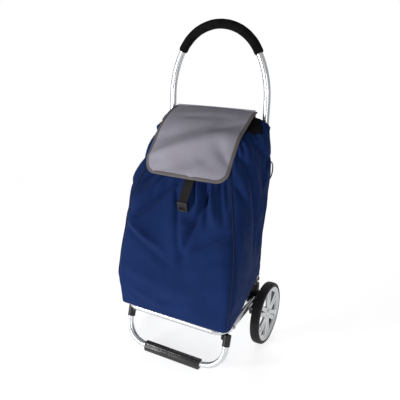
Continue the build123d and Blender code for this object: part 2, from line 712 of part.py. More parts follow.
TAPE_T = 0.8
flap_cloth = flap_band(FLAP_T, 0.0)
flap_tape = flap_band(FLAP_T + TAPE_T, TAPE_T)
flap_edge = flap_outline(0.0)
flap_field = flap_outline(BINDING)
with BuildPart() as flap:
    add(flap_cloth)
    extrude(flap_edge, amount=300, mode=Mode.INTERSECT)
finish(flap, "flap")

with BuildPart() as flap_binding:
    add(flap_tape)
    extrude(flap_edge, amount=300, mode=Mode.INTERSECT)
    extrude(flap_field, amount=300, mode=Mode.SUBTRACT)
    add(flap.part, mode=Mode.SUBTRACT)
finish(flap_binding, "flap_binding")

STRAP_HALF = 12.5
STRAP_T = 1.8
# reach ahead of the leg plane and height of the strap's front face
STRAP_PROFILE = ((202.0, 556.0), (208.0, 530.0), (222.0, 490.0))
with BuildPart() as flap_strap:
    with BuildSketch(Plane.YZ.offset(-STRAP_HALF)):
        with BuildLine():
            outer = Polyline(*[(ahead(a), z) for a, z in STRAP_PROFILE])
            inner = Polyline(*[(ahead(a - STRAP_T), z) for a, z in STRAP_PROFILE])
            Line(outer @ 0, inner @ 0)
            Line(outer @ 1, inner @ 1)
        make_face()
    extrude(amount=2 * STRAP_HALF)
finish(flap_strap, "flap_strap")

BUCKLE_W = 33.0
BUCKLE_H = 30.0
BUCKLE_T = 8.0
with BuildPart() as strap_buckle:
    buckle_plane = Plane(
        origin=(0, ahead(STRAP_PROFILE[-1][0] + 1.2), STRAP_PROFILE[-1][1] - BUCKLE_H / 2 + 1),
        x_dir=(1, 0, 0),
        z_dir=(0, -cos(radians(14)), sin(radians(14))),
    )
    with BuildSketch(buckle_plane):
        RectangleRounded(BUCKLE_W, BUCKLE_H, 5)
    extrude(amount=BUCKLE_T / 2, both=True)
    add(flap_strap.part, mode=Mode.SUBTRACT)
finish(strap_buckle, "strap_buckle")

# Short webbing tab on the bag, under the buckle, that the buckle closes on
with BuildPart() as strap_anchor:
    with BuildSketch(Plane.YZ.offset(-STRAP_HALF)):
        with BuildLine():
            Polyline(
                (ahead(221.4), 452), (ahead(215.8), 478), (ahead(217.8), 478), (ahead(223.4), 452),
                close=True,
            )
        make_face()
    extrude(amount=2 * STRAP_HALF)
finish(strap_anchor, "strap_anchor")
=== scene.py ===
"""Looks of a folding shopping trolley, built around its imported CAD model."""
from math import atan2, cos, pi, radians, sin, sqrt

import bmesh
import bpy
import numpy as np
from mathutils import Matrix, Vector, noise
from mathutils.bvhtree import BVHTree


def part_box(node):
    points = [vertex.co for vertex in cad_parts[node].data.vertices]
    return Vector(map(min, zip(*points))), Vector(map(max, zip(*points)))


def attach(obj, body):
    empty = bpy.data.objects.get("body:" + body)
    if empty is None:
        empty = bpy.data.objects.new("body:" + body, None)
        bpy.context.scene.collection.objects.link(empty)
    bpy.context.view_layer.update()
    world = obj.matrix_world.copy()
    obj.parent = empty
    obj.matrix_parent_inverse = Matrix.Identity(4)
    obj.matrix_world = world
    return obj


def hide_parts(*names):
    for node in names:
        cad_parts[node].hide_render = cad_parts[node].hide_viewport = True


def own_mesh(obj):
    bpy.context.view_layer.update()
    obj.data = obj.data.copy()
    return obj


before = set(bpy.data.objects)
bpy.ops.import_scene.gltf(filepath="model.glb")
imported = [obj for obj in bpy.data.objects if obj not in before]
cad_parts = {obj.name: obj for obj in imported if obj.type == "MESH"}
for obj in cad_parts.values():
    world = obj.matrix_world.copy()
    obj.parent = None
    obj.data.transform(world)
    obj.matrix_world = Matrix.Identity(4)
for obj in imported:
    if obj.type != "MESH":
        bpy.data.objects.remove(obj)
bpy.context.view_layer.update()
MM = 0.001
SIDES = ((1, "right"), (-1, "left"))   # the sign of x on each side


def middle(node):
    low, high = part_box(node)
    return (low + high) / 2


LEG_Y = middle("axle").y / MM          # leg plane, in millimetres like the tables below
AXLE_Z = middle("axle").z / MM


def at(x, ahead, z):
    """Places in metres, from millimetres across, ahead of the legs and up."""
    return np.stack(np.broadcast_arrays(x, LEG_Y - np.asarray(ahead, float), z), -1) * MM


def smooth(x, low, high):
    t = np.clip((x - low) / (high - low), 0, 1)
    return t * t * (3 - 2 * t)


def bell(x, centre, width, power=2):
    return np.exp(-((x - centre) / width) ** power)


def spline(keys, values, x):
    """Smooth curve through the values at the keys (Catmull-Rom with end tangents)."""
    keys, values = np.asarray(keys, float), np.asarray(values, float)
    slopes = np.gradient(values, keys, axis=0)
    x = np.clip(x, keys[0], keys[-1])
    i = np.clip(np.searchsorted(keys, x) - 1, 0, len(keys) - 2)
    h = keys[i + 1] - keys[i]
    t = (x - keys[i]) / h
    if values.ndim > 1:
        h, t = h[..., None], t[..., None]
    a, b = values[i], values[i + 1]
    return (
        (2 * t**3 - 3 * t**2 + 1) * a + (t**3 - 2 * t**2 + t) * h * slopes[i]
        + (3 * t**2 - 2 * t**3) * b + (t**3 - t**2) * h * slopes[i + 1]
    )


def unit(v):
    return v / np.maximum(np.linalg.norm(v, axis=-1, keepdims=True), 1e-12)


def distances(line):
    """Length along a line of points, from its start to each of them."""
    return np.concatenate([[0], np.cumsum(np.linalg.norm(np.diff(line, axis=0), axis=1))])


def sample(values, steps, where):
    """Values known at lengths along a line, interpolated at other lengths."""
    return np.stack([np.interp(where, steps, column) for column in values.T], -1)


def grid_normals(points):
    return unit(np.cross(np.gradient(points, axis=1), np.gradient(points, axis=0)))


def ring_normals(rings):
    """Outward normals of rings of points, from the bottom up, that each wrap round."""
    wrap = np.concatenate([rings[:, -1:], rings, rings[:, :1]], axis=1)
    return unit(np.cross(wrap[:, 2:] - wrap[:, :-2], np.gradient(rings, axis=0)))


# ---- meshes
def add_object(name, data):
    obj = bpy.data.objects.new(name, data)
    bpy.context.scene.collection.objects.link(obj)
    return obj


def shade_smooth(mesh):
    mesh.polygons.foreach_set("use_smooth", [True] * len(mesh.polygons))


def new_mesh(name, verts, faces, uvs=None, shade=True):
    mesh = bpy.data.meshes.new(name)
    mesh.from_pydata([tuple(v) for v in verts], [], [tuple(f) for f in faces])
    if uvs is not None:
        layer = mesh.uv_layers.new(name="UVMap")
        index = np.zeros(len(mesh.loops), int)
        mesh.loops.foreach_get("vertex_index", index)
        layer.data.foreach_set("uv", np.asarray(uvs, float)[index].ravel())
    if shade:
        shade_smooth(mesh)
    mesh.update()
    return add_object(name, mesh)


def grid_faces(rows, cols, wrap_cols=False, wrap_rows=False):
    faces = []
    for r in range(rows if wrap_rows else rows - 1):
        this, after = r * cols, ((r + 1) % rows) * cols
        for c in range(cols if wrap_cols else cols - 1):
            d = (c + 1) % cols
            faces.append((this + c, this + d, after + d, after + c))
    return faces


def tube_faces(rows, cols):
    """Faces of a tube of rings, with a cap at each end."""
    caps = [tuple(reversed(range(cols))), tuple(range((rows - 1) * cols, rows * cols))]
    return grid_faces(rows, cols, wrap_cols=True) + caps


def uv_grid(u, v):
    return np.stack(np.meshgrid(u, v), -1).reshape(-1, 2)


def cloth_uv(points):
    """UV in metres of cloth, measured along the middle row and column."""
    rows, cols = points.shape[:2]
    return uv_grid(distances(points[rows // 2]), distances(points[:, cols // 2]))


def two_skins(name, points, inner, wrap, joins, outward=1.0):
    """Outer and inner skin of a cloth; joins gives the faces between, for n points a skin."""
    rows, cols = points.shape[:2]
    n = rows * cols
    outer = grid_faces(rows, cols, wrap_cols=wrap)
    faces = outer + [tuple(n + i for i in reversed(f)) for f in outer] + joins(n, rows, cols)
    if outward < 0:
        faces = [tuple(reversed(f)) for f in faces]
    verts = np.concatenate([points.reshape(-1, 3), inner.reshape(-1, 3)])
    return new_mesh(name, verts, faces, np.tile(cloth_uv(points), (2, 1)))


def edge_strip(n, rows, cols):
    rim = (
        list(range(cols)) + [r * cols + cols - 1 for r in range(1, rows)]
        + [(rows - 1) * cols + c for c in range(cols - 2, -1, -1)]
        + [r * cols for r in range(rows - 2, 0, -1)]
    )
    return [(b, a, n + a, n + b) for a, b in zip(rim, rim[1:] + rim[:1])]


def rim_and_base(n, rows, cols):
    rim = list(range(n - cols, n))
    base = [tuple(reversed(range(cols))), tuple(n + i for i in range(cols))]
    return [(a, b, n + b, n + a) for a, b in zip(rim, rim[1:] + rim[:1])] + base


def sheet_solid(name, points, thickness, outward=1.0):
    """Closed cloth from a grid of points: its outer face, an inner face and the edges between."""
    inner = points - outward * grid_normals(points) * thickness
    return two_skins(name, points, inner, False, edge_strip, outward)


def open_pot(name, rings, thickness):
    """Outer skin, inner skin and rim of an open pot, from rings of points that wrap round."""
    return two_skins(name, rings, rings - ring_normals(rings) * thickness, True, rim_and_base)


def open_band(name, rings, thickness):
    """Closed cloth band that wraps round: outer face, inner face and both edges."""
    rows, cols = rings.shape[:2]
    points = np.concatenate([rings, (rings - ring_normals(rings) * thickness)[::-1]])
    faces = grid_faces(2 * rows, cols, wrap_cols=True, wrap_rows=True)
    return new_mesh(name, points.reshape(-1, 3), faces, cloth_uv(points))


def path_sides(path, up):
    """Side and normal at each point of a path, turned as little as possible."""
    tangents = unit(np.gradient(path, axis=0))
    side = np.cross(np.asarray(up, float), tangents[0])
    sides = []
    for t in tangents:
        side = unit(side - t * (side @ t))
        sides.append(side)
    return np.array(sides), np.cross(tangents, sides)


def across_path(path, sides, normals, section):
    """Rings of a section, (n, 2) or (rows, n, 2), set across the points of a path."""
    section = np.broadcast_to(section, (len(path),) + section.shape[-2:])
    return path[:, None] + section[..., :1] * sides[:, None] + section[..., 1:] * normals[:, None]


def ring_mesh(name, rings, u=None, v=None, closed=False):
    """Mesh of rings that each wrap round, capped unless the last one meets the first."""
    rows, cols = rings.shape[:2]
    faces = grid_faces(rows, cols, True, True) if closed else tube_faces(rows, cols)
    return new_mesh(name, rings.reshape(-1, 3), faces, None if u is None else uv_grid(u, v))


def sweep(name, path, section, closed=False, up=(0, 0, 1)):
    """Sweeps a closed section (n, 2), in metres, along a path of points."""
    rings = across_path(path, *path_sides(path, up), section)
    return ring_mesh(name, rings, distances(section), distances(path), closed)


def circle(radius, count):
    a = np.linspace(0, 2 * pi, count, endpoint=False)
    return np.stack([np.cos(a), np.sin(a)], -1) * radius


def rounded_rect(width, height, radius):
    x, y = width / 2 - radius, height / 2 - radius
    return np.array([
        (sx * x + radius * cos(a), sy * y + radius * sin(a))
        for k, (sx, sy) in enumerate(((1, 1), (-1, 1), (-1, -1), (1, -1)))
        for a in np.linspace(k, k + 1, 5) * pi / 2
    ])


def revolve(name, x, radius, steps, closed=True, uv_scale=(0.004, 0.09)):
    """Turns a profile about the axle: x is (n,), the radius (n,) or (steps, n), in millimetres."""
    a = np.linspace(0, 2 * pi, steps, endpoint=False)
    radius = np.broadcast_to(radius, (steps, len(x)))
    y, z = LEG_Y + radius * np.cos(a)[:, None], AXLE_Z + radius * np.sin(a)[:, None]
    points = np.stack([np.broadcast_to(x, radius.shape), y, z], -1) * MM
    faces = grid_faces(steps, len(x), wrap_cols=closed, wrap_rows=True)
    uv = uv_grid(np.arange(len(x)) * uv_scale[0], a * uv_scale[1])
    return new_mesh(name, points.reshape(-1, 3), faces, uv)


def join(name, objects):
    bpy.ops.object.select_all(action="DESELECT")
    for o in objects:
        o.select_set(True)
    bpy.context.view_layer.objects.active = objects[0]
    bpy.ops.object.join()
    objects[0].name = name
    objects[0].data.name = name
    return objects[0]


def fix_normals(obj):
    bm = bmesh.new()
    bm.from_mesh(obj.data)
    bmesh.ops.recalc_face_normals(bm, faces=bm.faces)
    bm.to_mesh(obj.data)
    bm.free()
    return obj


def modify(obj, kind, **settings):
    """Adds a modifier and applies it."""
    mod = obj.modifiers.new(kind.lower(), kind)
    for key, value in settings.items():
        setattr(mod, key, value)
    bpy.context.view_layer.objects.active = obj
    bpy.ops.object.modifier_apply(modifier=mod.name)


def soften(obj, width, angle=35):
    """Bevels hard edges; the width is in metres."""
    modify(obj, "BEVEL", width=width, segments=2, limit_method="ANGLE",
           angle_limit=radians(angle))
    shade_smooth(obj.data)
    modify(obj, "WEIGHTED_NORMAL", keep_sharp=True)


def prism(name, outline, x_low, x_high, bevel):
    """Extrudes an outline of (y, z) in millimetres along X; the bevel is in metres."""
    n = len(outline)
    verts = [(x * MM, y * MM, z * MM) for x in (x_low, x_high) for y, z in outline]
    faces = [tuple(range(n)), tuple(reversed(range(n, 2 * n)))]
    faces += [(i, n + i, n + (i + 1) % n, (i + 1) % n) for i in range(n)]
    obj = fix_normals(new_mesh(name, verts, faces, shade=False))
    soften(obj, bevel)
    return obj


def place(obj, body, material, slot, *nodes):
    obj.data.materials.clear()
    obj.data.materials.append(material)
    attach(obj, body)
    if nodes:
        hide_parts(*nodes)
    return obj


# ---- materials
def add_node(tree, kind, inputs=(), **settings):
    """A shader node; each input is a number or the socket that feeds it."""
    node = tree.nodes.new("ShaderNode" + kind)
    for key, value in settings.items():
        setattr(node, key, value)
    for key, value in dict(inputs).items():
        if isinstance(value, bpy.types.NodeSocket):
            tree.links.new(value, node.inputs[key])
        else:
            node.inputs[key].default_value = value
    return node


class Shader:
    """A node material under construction, around one Principled BSDF."""

    def __init__(self, name, **sockets):
        self.material = bpy.data.materials.new(name)
        self.material.use_nodes = True
        self.tree = self.material.node_tree
        self.bsdf = self.tree.nodes["Principled BSDF"]
        for key, value in sockets.items():
            self.bsdf.inputs[key.replace("_", " ")].default_value = value
        self.places = self.tree.nodes.new("ShaderNodeTexCoord").outputs

    def node(self, kind, inputs=(), **settings):
        return add_node(self.tree, kind, inputs, **settings)

    def coord(self, scale, kind="UV"):
        return self.node("Mapping", {"Vector": self.places[kind], "Scale": scale}).outputs[0]

    def noise(self, scale, detail=3.0, vector=None, rough=0.5):
        return self.node("TexNoise", {
            "Vector": vector or self.places["Object"], "Scale": scale, "Detail": detail,
            "Roughness": rough,
        }).outputs[0]

    def math(self, operation, *values):
        return self.node("Math", dict(enumerate(values)), operation=operation).outputs[0]

    def remap(self, value, low, high, out_low, out_high):
        return self.node("MapRange", {
            "Value": value, "From Min": low, "From Max": high,
            "To Min": out_low, "To Max": out_high,
        }).outputs[0]

    def ramp(self, value, dark, light, low=0.3, high=0.7):
        node = self.node("ValToRGB", {"Fac": value})
        stops = (low, dark), (high, light)
        for element, (position, colour) in zip(node.color_ramp.elements, stops):
            element.position, element.color = position, (*colour, 1)
        return node.outputs[0]

    def bump(self, height, distance, strength, **normal):
        inputs = {"Height": height, "Distance": distance, "Strength": strength, **normal}
        return self.node("Bump", inputs).outputs[0]

    def weave(self, pitch):
        """Height of a plain weave: threads pass over and under each other."""
        axes = self.node("SeparateXYZ", {"Vector": self.places["UV"]}).outputs[:2]
        waves, cells = [], []
        for axis in axes:
            phase = self.math("MULTIPLY", axis, pi / pitch)
            waves.append(self.math("ABSOLUTE", self.math("SINE", phase)))
            cells.append(self.math("FLOOR", self.math("MULTIPLY", axis, 1 / pitch)))
        odd = self.math("MODULO", self.math("ABSOLUTE", self.math("ADD", *cells)), 2.0)
        over = self.math("MULTIPLY", waves[0], odd)
        under = self.math("MULTIPLY", waves[1], self.math("SUBTRACT", 1.0, odd))
        return self.math("ADD", over, under)

    def ribs(self, pitch):
        axes = self.node("SeparateXYZ", {"Vector": self.places["UV"]}).outputs
        phase = self.math("MULTIPLY", axes[1], 2 * pi / pitch)
        return self.remap(self.math("SINE", phase), -1, 1, 0, 1)

    def finish(self, colour, grain, smoothest, roughest, normal):
        """Links the three inputs that vary over a surface; grain drives the roughness."""
        roughness = self.remap(grain, 0.3, 0.7, smoothest, roughest)
        for socket, value in (("Base Color", colour), ("Roughness", roughness), ("Normal", normal)):
            self.tree.links.new(value, self.bsdf.inputs[socket])
        return self.material


def fabric(name, dark, light, pitch, rough=0.8, sheen=0.03, specular=0.4):
    s = Shader(name, Roughness=rough, Sheen_Weight=sheen, Sheen_Roughness=0.5,
               Specular_IOR_Level=specular, IOR=1.12)
    weave = s.weave(pitch)
    threads = s.math("ADD", *(s.noise(1.0, 2, s.coord((*stretch, 1)))
                              for stretch in ((2600, 60), (60, 2600))))
    tone = s.math("ADD", s.math("MULTIPLY", s.noise(9.0, 4), 0.55),
                  s.math("MULTIPLY", threads, 0.225))
    colour = s.node("MixRGB", {
        "Fac": 1.0, "Color1": s.ramp(tone, dark, light, high=0.72),
        "Color2": s.remap(weave, 0, 1, 0.72, 1.08),
    }, blend_type="MULTIPLY").outputs[0]
    fine = s.bump(weave, 0.00022, 0.6)
    creased = s.bump(s.noise(70, 5, rough=0.6), 0.0012, 0.35, Normal=fine)
    return s.finish(colour, s.noise(240, 3), rough - 0.08, rough + 0.08, creased)


def moulded(name, dark, light, rough, grain=900, depth=0.00012, **sockets):
    s = Shader(name, Roughness=rough, **sockets)
    return s.finish(s.ramp(s.noise(34, 5), dark, light), s.noise(120, 4), rough - 0.07,
                    rough + 0.1, s.bump(s.noise(grain, 4), depth, 0.5))


def metal(name, dark, light, rough, stretch=(1, 1, 1)):
    s = Shader(name, Roughness=rough, Metallic=1.0)
    streak = s.noise(160, 5, s.coord(stretch, "Object"), 0.65)
    return s.finish(s.ramp(s.noise(14, 5), dark, light), streak, rough - 0.06, rough + 0.08,
                    s.bump(streak, 0.00005, 0.5))


def metallic_paint(name, dark, light):
    s = Shader(name, Roughness=0.34, Metallic=0.9, Coat_Weight=0.2, Coat_Roughness=0.2)
    flake = s.noise(2600, 2)
    return s.finish(s.ramp(flake, dark, light, 0.35, 0.65), s.noise(45, 4), 0.3, 0.42,
                    s.bump(flake, 0.00003, 0.4))


def ribbed(name, dark, light, pitch, rough=0.8, depth=0.00035):
    """Woven tape: ribs across its length over a fine grain."""
    s = Shader(name, Roughness=rough, Sheen_Weight=0.03, Specular_IOR_Level=0.18)
    grain = s.noise(1.0, 2, s.coord((1800, 1800, 1)))
    tone = s.math("ADD", s.math("MULTIPLY", s.ribs(pitch), 0.6), s.math("MULTIPLY", grain, 0.4))
    return s.finish(s.ramp(tone, dark, light, 0.2, 0.8), grain, rough - 0.08, rough + 0.08,
                    s.bump(tone, depth, 0.7))


ALUMINIUM = metal("satin_aluminium", (0.57, 0.58, 0.60), (0.71, 0.72, 0.74), 0.27, (1, 1, 0.06))
STEEL = metal("zinc_steel", (0.5, 0.51, 0.53), (0.68, 0.69, 0.71), 0.34)
LINK = moulded("painted_link", (0.012, 0.012, 0.014), (0.03, 0.03, 0.034), 0.38, 500, Metallic=0.2)
FOAM = moulded("grip_foam", (0.004, 0.004, 0.0042), (0.010, 0.010, 0.0105), 0.85, 1500, 0.0005,
               Specular_IOR_Level=0.06)
PLASTIC = moulded("black_plastic", (0.006, 0.006, 0.007), (0.013, 0.013, 0.015), 0.4,
                  Specular_IOR_Level=0.32)
WIRE = moulded("coated_wire", (0.012, 0.012, 0.013), (0.03, 0.03, 0.032), 0.35)
RUBBER = moulded("tyre_rubber", (0.007, 0.007, 0.008), (0.017, 0.017, 0.019), 0.6, 700, 0.0003,
                 Specular_IOR_Level=0.2)
FOOT_RUBBER = moulded("foot_rubber", (0.004, 0.004, 0.0045), (0.010, 0.010, 0.011), 0.24, 90,
                      0.00002, Specular_IOR_Level=0.6)
BOARD = moulded("stiff_board", (0.02, 0.02, 0.022), (0.05, 0.05, 0.052), 0.7)
NAVY = fabric("navy_cloth", (0.0068, 0.0198, 0.083), (0.0119, 0.0322, 0.132), 0.00075)
COLLAR = fabric("black_collar_cloth", (0.004, 0.004, 0.005), (0.012, 0.012, 0.014), 0.0005, 0.6,
                0.03, 0.3)
GREY = fabric("grey_cloth", (0.285, 0.273, 0.327), (0.4, 0.386, 0.452), 0.0008, 0.85, 0.05)
SILVER = metallic_paint("silver_paint", (0.42, 0.425, 0.44), (0.6, 0.605, 0.62))
TAPE = ribbed("binding_tape", (0.085, 0.074, 0.077), (0.205, 0.184, 0.186), 0.0016)
WEBBING = ribbed("black_webbing", (0.003, 0.003, 0.0035), (0.012, 0.012, 0.013), 0.0022, 0.75,
                 0.0004)
PIPING = ribbed("piping_trim", (0.003, 0.006, 0.02), (0.010, 0.017, 0.05), 0.0012, 0.6)
THREAD = ribbed("dark_thread", (0.006, 0.009, 0.03), (0.02, 0.03, 0.09), 0.0008)

# ---- carried-over CAD nodes
CAD_LOOKS = (
    (ALUMINIUM, "frame_tube shelf_tube foot_tube"),
    (PLASTIC, "left_bracket right_bracket left_foot_sleeve right_foot_sleeve left_bushing "
              "right_bushing"),
    (STEEL, "bracket_rivets crossbar_rivets axle axle_washers push_nuts shelf_pivot_bolts "
            "link_rear_pins foot_pivot_bolts link_front_pins"),
    (LINK, "back_crossbar left_link right_link"),
    (WIRE, "left_hang_loop right_hang_loop"),
)
for look, names in CAD_LOOKS:
    for name in names.split():
        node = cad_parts[name]
        if not node.material_slots:
            node.data.materials.append(look)
        for slot in node.material_slots:
            slot.material = look

# ---- shared shaping tools
def clouds(points, scale, seed, octaves=2):
    """Smooth noise from -1 to 1 at points in millimetres."""
    flat = points.reshape(-1, 3) / scale + seed * 17.3
    value = [noise.fractal(Vector(p), 1.0, 2.0, octaves) for p in flat]
    return np.array(value).reshape(points.shape[:-1])


def fold(p, q, x0, z0, x1, z1, width, height, lean):
    """A soft ridge (or valley) between two places on a panel; lean makes one side steeper."""
    dx, dz = x1 - x0, z1 - z0
    length = sqrt(dx * dx + dz * dz)
    along = ((p - x0) * dx + (q - z0) * dz) / length**2
    across = ((p - x0) * dz - (q - z0) * dx) / length
    wide = width * (0.55 + 0.75 * np.clip(along, 0, 1))
    across = across / wide
    shape = np.exp(-across**2) * (1 + lean * np.tanh(across))
    ends = smooth(along, -0.12, 0.2) * (1 - smooth(along, 0.7, 1.12))
    return height * shape * ends


# ---- the flap's shape
FLAP_PROFILE = ((16, 727), (72, 706), (126, 670), (166, 624), (190, 580), (197, 548))
FLAP_ROWS, FLAP_COLS, CORNER_ROWS = 66, 70, 17
FLAP_R = 30.0                           # radius of its two front corners
FLAP_CREASES = (
    # start and end (x, minus the distance from the back edge), width, height, lean
    (-140, -222, 150, -100, 26, 5.5, 0.4), (-130, -165, 120, -50, 30, -3.4, 0.3),
    (-100, -262, 70, -200, 24, -2.6, 0.0), (120, -215, 60, -140, 18, -2.6, 0.4),
    (-70, -70, 90, -45, 16, -1.6, 0.0), (118, -60, 40, -130, 14, -1.8, 0.3),
    (20, -262, 45, -215, 16, 1.8, 0.0),
)


def flap_grid():
    """Flap's upper face: curved along its length, drooping over the bag at its sides."""
    keys = np.linspace(0, 1, len(FLAP_PROFILE))
    dense = spline(keys, FLAP_PROFILE, np.linspace(0, 1, 400))
    steps = distances(dense)
    length = steps[-1]
    stations = np.concatenate([
        np.linspace(0, length - FLAP_R, FLAP_ROWS - CORNER_ROWS),
        length - FLAP_R + FLAP_R * np.linspace(0, 1, CORNER_ROWS + 1)[1:] ** 0.75,
    ])
    profile = sample(dense, steps, stations)
    tangent = unit(sample(np.gradient(dense, steps, axis=0), steps, stations))
    outward = np.stack([-tangent[:, 1], tangent[:, 0]], -1)        # (ahead, z)
    into = np.clip(stations - (length - FLAP_R), 0, FLAP_R)
    half = 132 - 6 * stations / length - (FLAP_R - np.sqrt(FLAP_R**2 - into**2))
    x = half[:, None] * np.linspace(-1, 1, FLAP_COLS)
    share = (stations / length)[:, None]
    x = np.where(x < 0, x * (1.03 + 0.03 * share), x * 1.01)
    # how far the sides hang below the middle, along the surface's own normal
    side = np.abs(x) / 129
    stops = (0, 0.22, 0.5, 0.75, 1)
    droop = np.where(x > 0, spline(stops, (5, 11, 20, 22, 15), share),
                     spline(stops, (3, 7, 12, 15, 12), share)) * side ** 2.4
    lift = 3.0 * np.sin(pi * share) * (1 - side**2)
    lift += 3.5 * smooth(share, 0.8, 1.0) * (1 - side**4)
    spot = np.stack([x, np.broadcast_to(stations[:, None], x.shape), 0 * x], -1)
    dents = 1.6 * clouds(spot * (1, 0.8, 1), 70, 11) * smooth(share, 0.04, 0.25)
    creases = sum(fold(x, -stations[:, None], *each) for each in FLAP_CREASES)
    creases = 2.07 * creases * smooth(share, 0.03, 0.2)
    edge_wave = 1.2 * np.sin(stations[:, None] / 24 + np.sign(x)) * side**4
    front_wave = 1.6 * np.sin(x / 29 + 0.6) * smooth(share, 0.8, 1.0)
    out = lift - droop + dents + creases + edge_wave + front_wave
    out = out - 0.6 * smooth(1 - share, 0.96, 1.0)
    return at(x, profile[:, :1] + outward[:, :1] * out, profile[:, 1:] + outward[:, 1:] * out)


def grid_tree(points, **wrap):
    faces = grid_faces(*points.shape[:2], **wrap)
    return BVHTree.FromPolygons([tuple(p) for p in points.reshape(-1, 3)], faces)


flap_points = flap_grid()
flap_tree = grid_tree(flap_points)
FLAP_HEART = Vector((0, (LEG_Y - 85) * MM, 560 * MM))       # a place well inside the bag
UNDER_FLAP_Z, CAST = 0.53, 0.5          # metres: lowest place tested, length of the rays


def tuck_under_flap(points, gap):
    """Draws points towards the bag's heart until they lie this far under the flap, in metres."""
    flat = points.reshape(-1, 3)
    gaps = np.broadcast_to(gap, points.shape[:-1]).ravel()
    for i, p in enumerate(flat):
        if p[2] < UNDER_FLAP_Z:
            continue
        out = Vector(p) - FLAP_HEART
        far = out.length
        hit = flap_tree.ray_cast(FLAP_HEART + out * (CAST / far), -out, CAST)[0]
        if hit is None:
            continue
        most = (hit - FLAP_HEART).length - gaps[i]
        if far > most:
            flat[i] = FLAP_HEART + out * (most / far)
    return flat.reshape(points.shape)


# ---- bag
# The bag's own sections, from the bottom edge (0) to the rim (1)
FRONT_LEVELS = (0, 0.164, 0.356, 0.548, 0.719, 0.868, 1)
REACH = (243, 249, 243, 231, 213, 189, 158)
FRONT_HALF = (183, 190, 188, 184, 176, 166, 148)
CORNER_R = (22, 26, 34, 46, 58, 66, 70)
BACK_LEVELS = (0, 0.054, 0.234, 0.415, 0.575, 0.715, 1)
BACK_HALF = (160, 168, 170, 176, 182, 184, 176)
BACK_AHEAD = 13.0
BACK_R = 12.0
SEAM_LEVELS = (0.015, 0.164, 0.356, 0.548, 0.719, 0.868, 1)
SEAM_X = (175, 181, 179, 172, 157, 139, 120)
FRONT_COLS, SIDE_COLS, BACK_COLS, BAG_ROWS = 46, 60, 36, 124


def bag_height(ahead, t):
    low = 193 - (ahead - BACK_AHEAD) / 231 * 50
    high = 692 - (ahead - BACK_AHEAD) / 145 * 80
    return low + (high - low) * t


def round_corner(a, b, c, radius):
    """Points of the arc that rounds the corner b between a and c."""
    a, b, c = (np.array(p, float) for p in (a, b, c))
    u, v = unit(a - b), unit(c - b)
    half = np.arccos(np.clip(u @ v, -1, 1)) / 2
    centre = b + unit(u + v) * radius / sin(half)
    start, end = b + u * radius / np.tan(half), b + v * radius / np.tan(half)
    a0, a1 = (atan2(*(p - centre)[::-1]) for p in (start, end))
    if a1 - a0 > pi:
        a1 -= 2 * pi
    if a0 - a1 > pi:
        a1 += 2 * pi
    angle = np.linspace(a0, a1, 24)
    return centre + radius * np.stack([np.cos(angle), np.sin(angle)], -1)


def half_outline(reach, front_half, corner, back_half, back_ahead=BACK_AHEAD, back_r=BACK_R):
    """Right half of the outline as (x, ahead), from the front's middle to the back's."""
    front, side, back = (front_half, reach), (back_half, back_ahead), (0, back_ahead)
    return np.concatenate([
        [(0, reach)], round_corner((0, reach), front, side, corner),
        round_corner(front, side, back, back_r), [back],
    ])


def outline_columns(line, seam_x):
    """Points of a half outline in the fixed columns: front, side and back panels."""
    steps = distances(line)
    fine = np.linspace(0, steps[-1], 1500)
    x = sample(line, steps, fine)[:, 0]
    seam = fine[np.argmax(x >= seam_x)]
    turn = fine[len(x) - 1 - np.argmax(x[::-1] > line[-2, 0])]
    return sample(line, steps, np.concatenate([
        np.linspace(0, seam, FRONT_COLS, endpoint=False),
        np.linspace(seam, turn, SIDE_COLS, endpoint=False),
        np.linspace(turn, steps[-1], BACK_COLS),
    ]))


def mirrored(right):
    """The whole ring of a right half outline."""
    return np.concatenate([right, right[::-1][1:-1] * (-1, 1)])


def bag_rows(levels):
    rows = []
    for t in levels:
        line = half_outline(
            spline(FRONT_LEVELS, REACH, t), spline(FRONT_LEVELS, FRONT_HALF, t),
            spline(FRONT_LEVELS, CORNER_R, t), spline(BACK_LEVELS, BACK_HALF, t),
        )
        ring = mirrored(outline_columns(line, spline(SEAM_LEVELS, SEAM_X, t)))
        rows.append(np.column_stack([ring, bag_height(ring[:, 1], t)]))
    return np.array(rows)


levels = np.linspace(0, 1, BAG_ROWS) ** 0.96
bag = bag_rows(levels)
COLS = bag.shape[1]
X, A, Z = (bag[..., k] for k in range(3))
T = np.broadcast_to(levels[:, None], X.shape)
column = np.arange(COLS)
column = np.where(column > COLS // 2, COLS - column, column)
column = np.broadcast_to(column, X.shape)
F = np.sign(X) * np.clip(column / FRONT_COLS, 0, 1)            # front panel, -1 to 1
G = np.clip((column - FRONT_COLS) / SIDE_COLS, 0, 1)           # side panel, seam to back
on_front = column <= FRONT_COLS
on_side = (column > FRONT_COLS) & (column < FRONT_COLS + SIDE_COLS)

belly = np.sin(pi * np.clip(T, 0, 1)) ** 0.8
push = 7.0 * belly * (on_front * (1 - F**2) + on_side * np.sin(pi * G))
seam_near = bell(column, FRONT_COLS, 2.2)
push -= 2.2 * seam_near * smooth(T, 0, 0.05)

